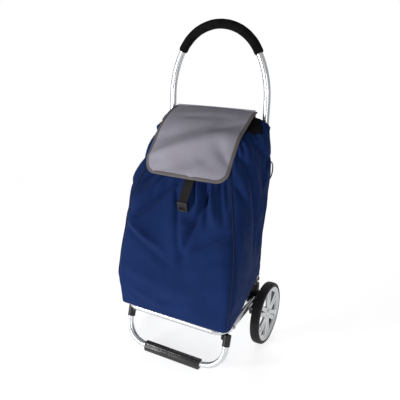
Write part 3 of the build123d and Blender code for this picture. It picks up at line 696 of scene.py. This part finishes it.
# front panel: gathers that fan out under the flap, and the large folds of a half-full bag
upper = smooth(Z, 440, 575)
fan = np.degrees(np.arctan2(X - 10, 690 - Z))
fan += 3.0 * clouds(bag, 90, 1)
gathers = np.cos(radians(1) * fan * 24) * (0.55 + 0.6 * clouds(bag * (1, 1, 0.4), 45, 2))
front_fade = 1 - smooth(np.abs(F), 0.8, 1.0)
push += on_front * 4.2 * gathers * upper * front_fade
FRONT_FOLDS = (
    # start and end (x, z), width, height, lean
    (4, 548, -150, 404, 9, -7.5, 0.7), (-26, 560, -165, 446, 15, 8.0, 0.0),
    (-84, 560, -174, 484, 8, -7.0, 0.5), (-58, 560, -96, 486, 7, -5.5, 0.0),
    (-24, 525, 22, 318, 11, -6.5, -0.8), (88, 540, 28, 318, 11, -7.0, 0.8),
    (26, 440, 25, 345, 32, 8.0, 0.0), (-150, 400, -20, 330, 12, 5.0, 0.0),
    (60, 560, 92, 428, 8, -8.0, 0.6), (80, 560, 114, 440, 8, 8.0, 0.0),
    (102, 560, 138, 436, 8, -6.0, -0.4), (122, 560, 150, 470, 6, -5.0, 0.0),
    (42, 560, 56, 450, 8, 6.0, 0.0), (30, 560, 50, 470, 6, -5.5, 0.0),
    (162, 428, 50, 358, 10, -6.0, 0.6), (164, 402, 80, 326, 14, 4.5, 0.0),
    (-174, 430, -60, 345, 20, 4.5, 0.0), (-156, 386, 14, 296, 16, -3.6, 0.5),
    (172, 336, 40, 290, 20, 3.0, 0.0), (-168, 266, 60, 222, 24, 3.0, 0.0),
    (-60, 186, 168, 238, 24, -3.0, 0.3), (-130, 204, -20, 166, 16, 2.2, 0.0),
)
front_folds = sum(fold(X, Z, *each) for each in FRONT_FOLDS)
push += on_front * 1.5 * front_folds * (1 - smooth(np.abs(F), 0.88, 1.0))

# side panels: long upright folds, and a slack swag between the rim and the leg
SIDE_FOLDS = (
    # start and end (ahead, z), width, height, lean
    (146, 640, 100, 320, 9, -7.0, 0.7), (124, 650, 80, 380, 12, 5.0, 0.0),
    (160, 600, 150, 400, 12, 4.0, 0.0), (178, 560, 152, 440, 8, -4.5, 0.0),
    (104, 660, 40, 588, 9, -9.0, 0.6), (84, 676, 34, 618, 12, 6.0, 0.0),
    (18, 606, 64, 570, 9, -7.0, 0.0), (78, 610, 62, 460, 9, -5.5, 0.5),
    (56, 560, 84, 430, 10, 5.0, 0.0), (100, 500, 60, 320, 9, -4.5, -0.5),
    (36, 500, 52, 290, 14, 3.5, 0.0), (196, 420, 130, 250, 22, 2.6, 0.0),
    (210, 300, 80, 240, 22, -2.0, 0.0),
)
side_folds = sum(fold(A, Z, *each) for each in SIDE_FOLDS)
side_fade = smooth(G, 0.0, 0.12) * (1 - smooth(G, 0.86, 1.0))
push += on_side * 1.4 * side_folds * side_fade

# gathers all round under the rim, a full left shoulder, soft creases and small dents
arc = distances(bag[-1])
phase = arc[None] / 19 * 2 * pi + 2.2 * clouds(bag * (1, 1, 0.3), 60, 3)
rim_wave = np.cos(phase) * smooth(T, 0.88, 1.0) * smooth(X, -60, 120)
push += 2.0 * rim_wave * (~on_front)
shoulder = bell(Z, 492, 50) * smooth(-X, 110, 165)
push += 12.0 * shoulder * (on_side | on_front)
push += 2.2 * clouds(bag, 95, 4) + 1.3 * clouds(bag * (1, 1, 0.6), 36, 5) * smooth(T, 0.0, 0.3)
push *= np.where(column >= FRONT_COLS + SIDE_COLS, 0.35, 1.0)      # the back lies flat
push *= smooth(T, -0.05, 0.1)

metres = at(X, A, Z)
normal = ring_normals(metres)
surface = metres + normal * push[..., None] * MM
across = surface[..., 0]               # a view: the changes below move the surface itself
# the shopping leans the bag a little to its left, and the corners sag outwards
sag = bell(Z, 235, 210, 4) * smooth(-X, 60, 185) * smooth(A, 60, 220)
across -= 13.5 * MM * sag
waist = bell(Z, 640, 42) * smooth(-X, 60, 120)
across += 6.0 * MM * waist
# low down the sides stay between the wheels, where the folded bag lies
widest = (180.5 + 24.0 * smooth(Z, 184, 272)) * MM
SOFT = 2.0 * MM
across -= np.sign(across) * SOFT * np.logaddexp(0, (np.abs(across) - widest) / SOFT)
slack = bell(Z, 590, 75) * smooth(X, 90, 150) * bell(A, 45, 42)
across += 8.0 * MM * slack
seam_right, seam_left = FRONT_COLS, COLS - FRONT_COLS

# base surface of the collar, from the bag's rim to the drawn opening
neck_ring = mirrored(outline_columns(half_outline(132, 100, 52, 118, BACK_AHEAD + 12, 14), 90))
neck = at(*neck_ring.T, 706 - (neck_ring[:, 1] - 25) / 109 * 66)
rim = surface[-1]
rim_ahead = LEG_Y - rim[:, 1] / MM


def over_rim(share):
    """Points on the way from the rim (0) to the neck (1), a share for each column."""
    share = np.broadcast_to(share, (len(rim),))[:, None]
    points = rim * (1 - share) + neck * share
    points[:, 2] += np.sin(pi * share[:, 0] ** 0.8) * 7.0 * MM
    return points


# beside the flap the navy cloth runs on over the rim, up to the flap's edge
rim_share = 0.30 * (1 - smooth(rim_ahead, 26, 52)) + 0.04 + 0.68 * smooth(rim_ahead, 66, 96)
EXTRA_ROWS = 14
extra = np.array([over_rim(rim_share * k) for k in np.linspace(0, 1, EXTRA_ROWS + 1)[1:]])
tuck_wave = np.cos(phase[-1] + 0.8 * clouds(extra / MM, 40, 8))
extra[..., 2] += (2.4 * tuck_wave * MM) * np.linspace(1, 1.3, EXTRA_ROWS)[:, None]
surface = np.concatenate([surface, extra])
near_strap = bell(surface[..., 0] / MM, 22, 20, 4)
surface = tuck_under_flap(surface, (3.2 + 2.6 * near_strap) * MM)

# rounded bottom edge and closed base, from the lowest row inwards
BASE_ROUND, BASE_DROP = 9.0 * MM, 5.0 * MM
base_rings = []
centre = np.array([0.0, LEG_Y - 128, 0]) * MM
for angle in np.linspace(pi / 2, 0, 5)[1:]:
    ring = surface[0].copy()
    away = unit((ring - centre) * (1, 1, 0))
    ring -= away * BASE_ROUND * (1 - sin(angle))
    ring[:, 2] -= BASE_DROP * cos(angle)
    base_rings.append(ring)
lowest = base_rings[-1]
for share in (0.9, 0.7, 0.45, 0.2, 0.04):
    ring = centre + (lowest - centre) * share
    ring[:, 2] = bag_height((LEG_Y - ring[:, 1] / MM), 0) * MM - BASE_DROP + 1.0 * MM * share
    base_rings.append(ring)
skin = np.concatenate([np.array(base_rings[::-1]), surface])
bag_shell = open_pot("bag", skin, 2.0 * MM)
place(bag_shell, "frame", NAVY, "navy_fabric", "bag_shell")

board = prism("bag_board", [
    (LEG_Y - 18, 195), (LEG_Y - 234, 150), (LEG_Y - 234, 153), (LEG_Y - 18, 199),
], -150, 150, 1.0 * MM)
place(board, "frame", BOARD, "board", "base_board")


def stitches(name, line, normals, length, gap, radius):
    """A row of short raised stitches along a line of points on a surface."""
    steps = distances(line)
    verts, faces = [], []
    hexagon = circle(1.0, 6)
    for s in np.arange(gap, steps[-1] - length - gap, length + gap):
        start, end = sample(line, steps, s), sample(line, steps, s + length)
        n = unit(sample(normals, steps, s))
        side = np.cross(unit(end - start), n)
        faces += [tuple(len(verts) + i for i in face) for face in tube_faces(4, 6)]
        for share, size, up in ((0, 0.45, -0.5), (0.2, 1, 0.25), (0.8, 1, 0.25), (1, 0.45, -0.5)):
            spot = start + (end - start) * share + n * (up * radius)
            verts += [spot + radius * size * (a * side + b * n * 0.7) for a, b in hexagon]
    return fix_normals(new_mesh(name, verts, faces, np.asarray(verts)[:, :2]))


# piping on the two front seams, and a row of stitches beside each
seam_rows = range(2, int(BAG_ROWS * 0.93))
pipings = []
for side, seam in (("right", seam_right), ("left", seam_left)):
    line = (surface[seam_rows, seam] + normal[seam_rows, seam] * 0.9 * MM)[::2]
    cord = sweep(f"{side}_seam_piping", line, circle(1.7 * MM, 10), up=(1, 0, 0))
    pipings.append(place(cord, "frame", PIPING, "piping_trim", f"{side}_piping"))
bag_stitching = join("bag_stitching", [
    stitches("stitch", surface[seam_rows, beside], normal[seam_rows, beside], 3.0 * MM, 1.2 * MM,
             0.35 * MM) for beside in (seam_right + 2, seam_left - 2)
])
place(bag_stitching, "frame", THREAD, "navy_fabric")

# ---- collar
shares = np.linspace(0, 1, 22)
collar = np.array([over_rim(rim_share + (1 - rim_share) * k) for k in shares])
ruffle = np.cos(arc / 11.5 * 2 * pi + 2.6 * clouds(collar / MM, 26, 6))
ruffle += 0.5 * np.cos(arc / 6.4 * 2 * pi + 3.0 * clouds(collar / MM, 18, 7))
ruffle *= (0.25 + 0.95 * smooth(shares[:, None], 0.0, 0.75))
collar_normal = ring_normals(collar)
collar += collar_normal * (ruffle * 3.4 * MM)[..., None]
collar[0] = surface[-1] - collar_normal[0] * 1.5 * MM
collar = tuck_under_flap(collar, 4.0 * MM)
inside_bag = collar[:1] - np.array([0, 0, 9.0 * MM]) - collar_normal[:1] * 1.2 * MM
band = open_band("bag_collar_cloth", np.concatenate([inside_bag, collar]), 0.8 * MM)
hem_path = tuck_under_flap(collar[-1] + np.array([0, 0, -2.0 * MM]), 7.5 * MM)
hem = sweep("collar_hem", hem_path, circle(1.0, 10) * (3.4 * MM, 5.0 * MM), closed=True)
bag_collar = join("bag_collar_cloth", [band, hem])
place(bag_collar, "frame", COLLAR, "collar_fabric", "bag_collar")

# ---- flap
flap = sheet_solid("flap_cloth", flap_points, 1.4 * MM, -1.0)
place(flap, "flap", GREY, "grey_fabric", "flap")


def flap_edge(grid):
    """Values of a grid down one side of the flap, along its front and up the other side."""
    return np.concatenate([grid[:-1, 0], grid[-1, :], grid[-2::-1, -1]])


def average5(line, **pad):
    return np.stack([
        np.convolve(np.pad(column, 2, **pad), np.ones(5) / 5, "valid") for column in line.T
    ], -1)


# the edge tape runs along that line, round both corners
flap_normals = grid_normals(flap_points)
if flap_normals[0, 0, 2] < 0:
    flap_normals = -flap_normals
edge = flap_edge(flap_points)
edge_steps = distances(edge)
even = np.linspace(0, edge_steps[-1], 420)
edge = average5(sample(edge, edge_steps, even), mode="reflect", reflect_type="odd")
edge_normals = unit(average5(sample(flap_edge(flap_normals), edge_steps, even), mode="edge"))
inward = np.cross(edge_normals, unit(np.gradient(edge, axis=0)))
if (inward * (edge.mean(0) - edge)).sum() < 0:
    inward = -inward
TAPE_SECTION = np.array([
    (9.0, 0.15), (8.6, 0.75), (5.0, 0.95), (1.0, 0.95), (-0.5, 0.6), (-1.1, -0.7), (-0.5, -2.0),
    (1.0, -2.35), (8.6, -2.15), (9.0, -1.55), (1.2, -1.5), (0.4, -0.7), (1.2, 0.05),
]) * MM
wobble = 1 + 0.03 * np.sin(np.arange(len(edge)) / 9.0)
rings = across_path(edge, inward * wobble[:, None], edge_normals, TAPE_SECTION)
binding = fix_normals(ring_mesh("flap_edge_tape", rings, distances(TAPE_SECTION), even))
place(binding, "flap", TAPE, "binding_tape", "flap_binding")
tape_stitch = stitches("flap_stitching", edge + inward * 7.6 * MM + edge_normals * 0.9 * MM,
                       edge_normals, 2.7 * MM, 1.1 * MM, 0.32 * MM)
place(tape_stitch, "flap", TAPE, "binding_tape")

# ---- strap and clip
def ribbon(name, path, width, thickness):
    """Flat webbing along a path, level across, with rounded, slightly thicker edges."""
    half, t = width / 2, thickness / 2
    lip, body, rise = half - 0.5 * MM, half - 1.6 * MM, t * 1.25
    section = np.array([
        (-half, 0), (-lip, rise), (-body, t), (0, t), (body, t), (lip, rise),
        (half, 0), (lip, -rise), (body, -t), (0, -t), (-body, -t), (-lip, -rise),
    ])
    tangents = unit(np.gradient(path, axis=0))
    side = unit((1, 0, 0) - tangents * tangents[:, :1])
    rings = across_path(path, side, np.cross(side, tangents), section)
    return fix_normals(ring_mesh(name, rings, section[:, 0], distances(path)))


bag_tree = grid_tree(surface, wrap_cols=True)


def front_of_bag(x, z):
    """How far ahead the bag's front cloth stands at a place, over the width of the strap."""
    reach = []
    for beside in (-13, -6, 0, 6, 13):
        hit = bag_tree.ray_cast(Vector(at(x + beside, 280, z)), Vector((0, 1, 0)))[0]
        reach.append(LEG_Y - hit.y / MM)
    return max(reach)


STRAP_KEYS = (0, 0.2, 0.42, 0.7, 1)
STRAP_LINE = (
    (24, 187, 575), (23.5, 194, 553), (22, 204, 535),
    (19.5, max(213.5, front_of_bag(19.5, 512) + 2.0), 512),
    (16.5, max(224, front_of_bag(14, 480) + 4.6), 486),
)
strap_path = spline(STRAP_KEYS, STRAP_LINE, np.linspace(0, 1, 36))
strap = ribbon("flap_webbing", at(*strap_path.T), 29 * MM, 1.7 * MM)
place(strap, "flap", WEBBING, "black_webbing", "flap_strap")

clip_turn = Matrix.Rotation(radians(14), 4, "X")


def clip_block(width, height, depth, x, up, out, radius=1.4):
    """One rounded block of the clip, in its own frame: x across, up along it, out forwards."""
    outline = rounded_rect(width, height, min(radius * 1.6, height / 2.2))
    layers = (-depth / 2, 0), (depth / 2 - radius * 0.5, 0), (depth / 2, radius * 0.6)
    verts = [
        (x + px * (1 - 2 * shrink / width), -(out + ahead), up + py * (1 - 2 * shrink / height))
        for ahead, shrink in layers for px, py in outline
    ]
    obj = fix_normals(new_mesh("clip", np.array(verts) * MM, tube_faces(3, len(outline))))
    soften(obj, 0.35 * MM, 40)
    return obj


clip = join("strap_clip", [clip_block(*block) for block in (
    (31, 8.5, 7, 0, 11, 0),                                     # sleeve that holds the webbing
    *((5.2, 24, 6.5, x, -1.4, 0) for x in (-12.4, 12.4)),       # sides of the frame
    (20.5, 9, 4.6, 0, 2.6, 0.2),                                # tongue, with finger ridges
    *((15, 1.3, 1.2, 0, up, 2.7, 0.4) for up in (0.6, 3.0, 5.4)),
    (29, 3.6, 5.5, 0, -11.6, 0),                                # lower bar, below the slot
)])
clip_middle = at(16.5, front_of_bag(14, 472) + 6.4, 474.5)
clip.data.transform(Matrix.Translation(Vector(clip_middle)) @ clip_turn)
place(clip, "flap", PLASTIC, "black_plastic", "strap_buckle")

anchor_path = np.array([
    (14 + (z - 462) / 20, front_of_bag(14, z) + 1.6, z) for z in np.linspace(460, 482, 14)
])
anchor_tab = ribbon("bag_webbing_tab", at(*anchor_path.T), 25 * MM, 1.6 * MM)
place(anchor_tab, "frame", WEBBING, "black_webbing", "strap_anchor")

# ---- cloth behind the flap
HINGE_HALF, HINGE_LOW, HINGE_TALL = 128, 682, 46.4
hinge = np.array([[
    at(x, 10.8 + 5.7 * smooth(up, 0.5, 1) + 0.4 * sin(x / 21),
       HINGE_LOW + up * (HINGE_TALL - 1.2 * (x / HINGE_HALF) ** 2))
    for x in np.linspace(-HINGE_HALF, HINGE_HALF, 80)] for up in np.linspace(0, 1, 24)])
hinge_cloth = sheet_solid("flap_hinge_cloth", hinge, 1.4 * MM)
place(hinge_cloth, "frame", GREY, "grey_fabric")

# ---- sleeves on the legs
LEG_X, SLEEVE_LOW, SLEEVE_TALL = 155, 216, 468


def hull_section(circles, ways):
    """Outline round several circles (x, ahead, radius), at the given directions."""
    circles = np.array(circles)
    best = circles[np.argmax(ways @ circles[:, :2].T + circles[:, 2], axis=1)]
    return best[:, :2] + best[:, 2:] * ways


angles = np.linspace(0, 2 * pi, 60, endpoint=False)
low_edge = SLEEVE_LOW + 3 * np.cos(angles)
mouth = 684 - 7 * (0.5 + 0.5 * np.cos(angles - 0.9)) ** 2 + 1.5 * np.cos(3 * angles)
heights = np.linspace(0, 1, 90)
for sign, side in SIDES:
    rows = []
    for h in heights:
        z = SLEEVE_LOW + SLEEVE_TALL * h
        t = np.clip((z - 193) / 499, 0, 1)
        reach = spline(BACK_LEVELS, BACK_HALF, t) - 12.5 + 5.0 * sin(pi * t) ** 2
        # slimmer low down, where the folded shelf and its links stand against the legs
        slim = 1 - smooth(z, 392, 440)
        section = hull_section([
            (LEG_X, 0, 12.2), (reach - 1.5 * slim, 24 - 12.5 * slim, 10.5 - 3.5 * slim),
            (147 + 5 * slim, 16 - 5 * slim, 6.0 - 2 * slim),
        ], circle(1.0, 60))
        rows.append(np.column_stack([section, low_edge + (mouth - low_edge) * h]))
    sleeve = np.array(rows)
    wrinkle = 1.1 * clouds(sleeve * (1, 1, 0.7), 30, 21 + sign) + 0.7 * clouds(sleeve, 12, 22)
    grow = np.clip(wrinkle, -0.8, 2.2) + 1.2 * smooth(heights, 0.96, 1.0)[:, None]
    sleeve[..., :2] += unit(sleeve[..., :2] - (LEG_X, 0)) * grow[..., None]
    points = at(sign * sleeve[..., 0], sleeve[..., 1], sleeve[..., 2])[:, ::sign]
    piece = fix_normals(open_band(f"{side}_leg_sleeve", points, 1.2 * MM))
    place(piece, "frame", NAVY, "navy_fabric", f"{side}_tube_sleeve")

# tabs that hold the hanging loops
for _, side in SIDES:
    low, high = (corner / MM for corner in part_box(f"{side}_loop_tab"))
    tab = prism(f"{side}_webbing_tab", [
        (low.y - 1, low.z + 1), (high.y - 3, low.z), (high.y, low.z + 4), (high.y, high.z - 4),
        (high.y - 3, high.z), (low.y - 1, high.z - 1),
    ], low.x, high.x, 0.9 * MM)
    layer = tab.data.uv_layers.new(name="UVMap")
    for loop in tab.data.loops:
        co = tab.data.vertices[loop.vertex_index].co
        layer.data[loop.index].uv = (co.y + co.x, co.z)
    place(tab, "frame", WEBBING, "black_webbing", f"{side}_loop_tab")

# ---- grip
APEX_Z = 960.0
BEND_R, BEND = 280.0, radians(30)
TOP_R = (155.0 - BEND_R * (1 - cos(BEND))) / cos(BEND)


def handle_point(angle):
    """Centreline of the arch at an angle from its top, in radians."""
    top = min(abs(angle), pi / 2 - BEND)
    x, z = TOP_R * sin(top), APEX_Z - TOP_R * (1 - cos(top))
    more = abs(angle) - top
    if more > 0:
        a0, a1 = pi / 2 - BEND, pi / 2 - BEND + more
        x += BEND_R * (sin(a1) - sin(a0))
        z -= BEND_R * (cos(a0) - cos(a1))
    return (x if angle >= 0 else -x), 0.0, z


GRIP_SIDES = 40
grip_end = pi / 2 - BEND + radians(2.5)
grip_line = np.array([handle_point(a) for a in np.linspace(-grip_end, grip_end, 150)])
grip_path = at(*grip_line.T)
along = np.linspace(0, distances(grip_line)[-1], len(grip_line))
from_end = np.minimum(along, along[-1] - along)
thick = 13.7 - 2.6 * np.exp(-from_end / 1.1) - 0.5 * bell(from_end, 14, 9)
dents = np.array([[
    0.35 * noise.fractal(Vector((s / 26, 2 * cos(a), 2 * sin(a))), 1, 2, 3)
    for a in np.linspace(0, 2 * pi, GRIP_SIDES, endpoint=False)] for s in along])
foam = circle(1.0, GRIP_SIDES) * (thick[:, None] + dents)[..., None] * MM
grip_axes = path_sides(grip_path, (0, 1, 0))
rings = np.concatenate([
    across_path(grip_path, *grip_axes, foam),
    across_path(grip_path, *grip_axes, circle(9.6 * MM, GRIP_SIDES))[::-1],
])
grip = fix_normals(ring_mesh("foam_grip", rings, closed=True))
place(grip, "frame", FOAM, "grip_foam", "handle_grip")

# ---- foot pad
pad_y = middle("foot_pad").y / MM
pad_section = []
for a in np.linspace(-pi * 0.06, pi * 1.06, 64):
    r = 13.3 + 0.45 * np.clip(np.cos(a * 14) * 2.2, -1, 1)
    pad_section.append((-r * cos(a), 14.0 + r * sin(a)))
pad_section += [(13.6, 9), (13.4, 1.4), (12, 0.1), (-12, 0.1), (-13.4, 1.4), (-13.6, 9)]
PAD_ENDS = ((-95, 0.9), (-94.2, 0.965), (-92.5, 1), (-30, 1), (30, 1), (92.5, 1), (94.2, 0.965),
            (95, 0.9))                  # x, size of the section there
pad_rings = []
for x, size in PAD_ENDS:
    ring = (np.array(pad_section) - (0, 12.6)) * size + (pad_y, 12.6)
    pad_rings.append(np.column_stack([np.full(len(ring), x), ring]) * MM)
pad = fix_normals(ring_mesh("ribbed_foot_pad", np.array(pad_rings)))
place(pad, "foot", FOOT_RUBBER, "black_plastic", "foot_pad")

# ---- wheels
WHEEL_IN, WHEEL_OUT = 184.0, 212.0
HALF_TREAD = (
    # x from the tyre's middle, radius
    (-14, 86.2), (-14, 89), (-13.4, 90.2), (-14, 91.4), (-13.2, 94.2), (-11.2, 96.6),
    (-8.6, 97.5), (-6.6, 97.7), (-6.2, 96.5), (-5.2, 96.5), (-4.8, 97.9), (-0.7, 98.0),
    (-0.4, 96.7),
)
TREAD = HALF_TREAD + tuple((-x, radius) for x, radius in reversed(HALF_TREAD))


def treaded_tyre(name, centre_x):
    steps = 384
    x, radius = np.array(TREAD).T
    notch = (np.arange(steps) % 6 < 2)[:, None] * ((np.abs(x) > 8) & (radius > 93))[None]
    return fix_normals(revolve(name, centre_x + x, radius - 0.9 * notch, steps,
                               uv_scale=(0.003, 0.098)))


def window(points, turn, corner):
    """Rounded closed loop from (radius, offset) corners of a window, turned about the hub."""
    loop = []
    for i, b in enumerate(np.array(points, float)):
        a, c = np.array(points[i - 1]), np.array(points[(i + 1) % len(points)])
        start, end = b + unit(a - b) * corner, b + unit(c - b) * corner
        for k in np.linspace(0, 1, 6):
            loop.append(start * (1 - k) ** 2 + 2 * b * k * (1 - k) + end * k**2)
    x, y = np.array(loop).T
    ct, st = cos(turn), sin(turn)
    return np.stack([x * ct - y * st, x * st + y * ct], -1)


def spoke_plate(name, centre_x):
    """Face of the wheel: a plate with windows between and within its double spokes."""
    curve = bpy.data.curves.new(name, "CURVE")
    curve.dimensions, curve.fill_mode = "2D", "BOTH"
    loops = [circle(77.5, 120)]
    outer_edge = [(72.6 * cos(b), 72.6 * sin(b)) for b in np.radians((-17.5, -6, 6, 17.5))]
    for k in range(6):
        turn = pi / 2 + k * pi / 3
        loops.append(window([(33, -1.5), (71, -4.6), (71, 4.6), (33, 1.5)], turn, 1.3))
        loops.append(window([(26, -1.2), *outer_edge, (26, 1.2)], turn + pi / 6, 1.1))
    for loop in loops:
        line = curve.splines.new("POLY")
        line.points.add(len(loop) - 1)
        for point, (y, z) in zip(line.points, loop):
            point.co = (y * MM, z * MM, 0, 1)
        line.use_cyclic_u = True
    curve.extrude, curve.bevel_depth, curve.bevel_resolution = 2.2 * MM, 1.1 * MM, 2
    flat = add_object(name, curve)
    bpy.context.view_layer.update()
    solid = flat.evaluated_get(bpy.context.evaluated_depsgraph_get())
    mesh = bpy.data.meshes.new_from_object(solid)
    bpy.data.objects.remove(flat)
    mesh.transform(Matrix((
        (0, 0, 1, centre_x * MM), (1, 0, 0, LEG_Y * MM), (0, 1, 0, AXLE_Z * MM), (0, 0, 0, 1),
    )))
    return add_object(name, mesh)


def wheel_part(name, sign, profiles, *others):
    """Joins turned profiles of (x, radius) on the right; mirrors them when on the left."""
    turned = [revolve(name, *np.array(profile).T, steps, closed)
              for profile, steps, closed in profiles]
    part = join(name, turned + list(others))
    if sign < 0:
        part.data.transform(Matrix.Scale(-1, 4, (1, 0, 0)))
    fix_normals(part)
    shade_smooth(part.data)
    modify(part, "EDGE_SPLIT", split_angle=radians(40))
    return part


BARREL = (
    (185, 81), (185, 86.1), (198, 86.3), (209.5, 86.3), (209.5, 83), (205, 80.4),
    (203, 77.6), (200, 77.2), (190, 79.4), (186, 80.2),
)
HUB = (
    (185, 8.2), (185, 15.5), (187, 17.2), (196, 17.8), (199.4, 21), (199.6, 24), (200.8, 24),
    (200.8, 8.2),
)
LIP = (
    (206, 79.8), (206, 86.2), (211.2, 86.3), (211.8, 85.2), (211.2, 83.4), (209.6, 82.4),
    (208.9, 81), (209.3, 79.4), (208.2, 77), (205.4, 75.8), (203.4, 76.4), (203.6, 79.6),
)
HUB_RING = (
    (200.9, 8.2), (200.9, 21.5), (205.4, 21), (207.6, 18.6), (208.3, 15.2), (207.4, 13.6),
    (206.2, 13.2), (206.2, 8.2),
)
CAP = (
    (205.5, 0.2), (205.5, 12.6), (209.0, 12.6), (210.4, 11.6), (210.9, 9.6), (210.0, 8.2),
    (210.1, 5.0), (210.9, 3.2), (211.2, 0.2),
)
SPOKES_X = 204.2
for sign, side in SIDES:
    body = f"{side}_road_wheel"
    tyre = treaded_tyre(f"{side}_treaded_tyre", sign * (WHEEL_IN + WHEEL_OUT) / 2)
    place(tyre, body, RUBBER, "tyre_rubber", f"{side}_tyre")
    # the silver face carries the lip, spokes, hub ring and cap
    face = wheel_part(f"{side}_wheel_face", sign,
                      [(LIP, 144, True), (HUB_RING, 72, True), (CAP, 72, False)],
                      spoke_plate("spokes", SPOKES_X))
    place(face, body, SILVER, "wheel_plastic", f"{side}_wheel", f"{side}_hub_cap")
    core = wheel_part(f"{side}_wheel_core", sign, [(BARREL, 144, True), (HUB, 72, True)])
    place(core, body, PLASTIC, "black_plastic")

# ---- each piece of the bag gets its own copy of its mesh
for piece in [bag_shell, bag_collar, board, bag_stitching, anchor_tab] + pipings:
    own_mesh(piece)

# ---- floor, light, camera
floor = new_mesh("floor", [(0, 0, 0)] + [(x, y, 0) for x, y in circle(6, 96)],
                 [(0, k + 1, (k + 1) % 96 + 1) for k in range(96)])
pale = Shader("pale_floor", Roughness=0.9, Specular_IOR_Level=0.1,
              Emission_Color=(1, 1, 1, 1), Emission_Strength=0.7)
tone = pale.ramp(pale.noise(2.0, 2), (0.9, 0.9, 0.9), (0.92, 0.92, 0.92))
pale.tree.links.new(tone, pale.bsdf.inputs["Base Color"])
# the floor fades out between these distances from the object, in metres
distance = pale.node("VectorMath", {0: pale.places["Object"]}, operation="LENGTH")
gone = pale.remap(distance.outputs["Value"], 0.9, 2.6, 0.0, 1.0)
clear = pale.node("BsdfTransparent").outputs[0]
blend = pale.node("MixShader", {0: gone, 1: pale.bsdf.outputs[0], 2: clear})
pale.tree.links.new(blend.outputs[0], pale.tree.nodes["Material Output"].inputs[0])
floor.data.materials.append(pale.material)

# white all round as the camera sees it, and a dimmer studio for light and reflections
world = bpy.data.worlds.new("world")
bpy.context.scene.world = world
world.use_nodes = True
tree = world.node_tree
background = tree.nodes["Background"].inputs
background[0].default_value = (1, 1, 1, 1)
ray = add_node(tree, "LightPath").outputs
either = add_node(tree, "Math", {0: ray["Is Glossy Ray"], 1: 0.42, 2: ray["Is Camera Ray"]},
                  operation="MULTIPLY_ADD")
level = add_node(tree, "MapRange", {"Value": either.outputs[0], "To Min": 0.14, "To Max": 1.0})
tree.links.new(level.outputs[0], background[1])


def soft_box(name, place, target_z, size, power):
    """A rectangular lamp aimed at a height above the origin."""
    light = bpy.data.lights.new(name, "AREA")
    light.shape, (light.size, light.size_y), light.energy = "RECTANGLE", size, power
    obj = add_object(name, light)
    obj.location = place
    aim = Vector((0, 0, target_z)) - Vector(place)
    obj.rotation_euler = aim.to_track_quat("-Z", "Y").to_euler()


soft_box("key", (-1.7, -2.4, 0.4), 0.45, (0.7, 1.0), 58)
soft_box("fill", (2.0, -2.2, 0.8), 0.45, (0.8, 1.4), 20)
soft_box("top", (0.2, 0.0, 2.9), 0.4, (1.8, 1.8), 3.5)
soft_box("back", (-0.8, 2.4, 1.6), 0.5, (1.6, 1.2), 14)

CAMERA_PLACE, LENS = (0.65908, -1.24655, 0.87856), 44.02
TURN, DOWN, ROLL = radians(28.19), radians(16.73), radians(1.81)
camera_data = bpy.data.cameras.new("camera")
camera_data.lens, camera_data.sensor_width = LENS, 36.0
camera = add_object("camera", camera_data)
bpy.context.scene.camera = camera
camera.matrix_world = (
    Matrix.Translation(CAMERA_PLACE) @ Matrix.Rotation(TURN, 4, "Z")
    @ Matrix.Rotation(pi / 2 - DOWN, 4, "X") @ Matrix.Rotation(ROLL, 4, "Z")
)

scene = bpy.context.scene
scene.view_settings.view_transform = "Standard"
scene.view_settings.look = "None"
scene.view_settings.exposure = 0.0
scene.view_settings.gamma = 1.0
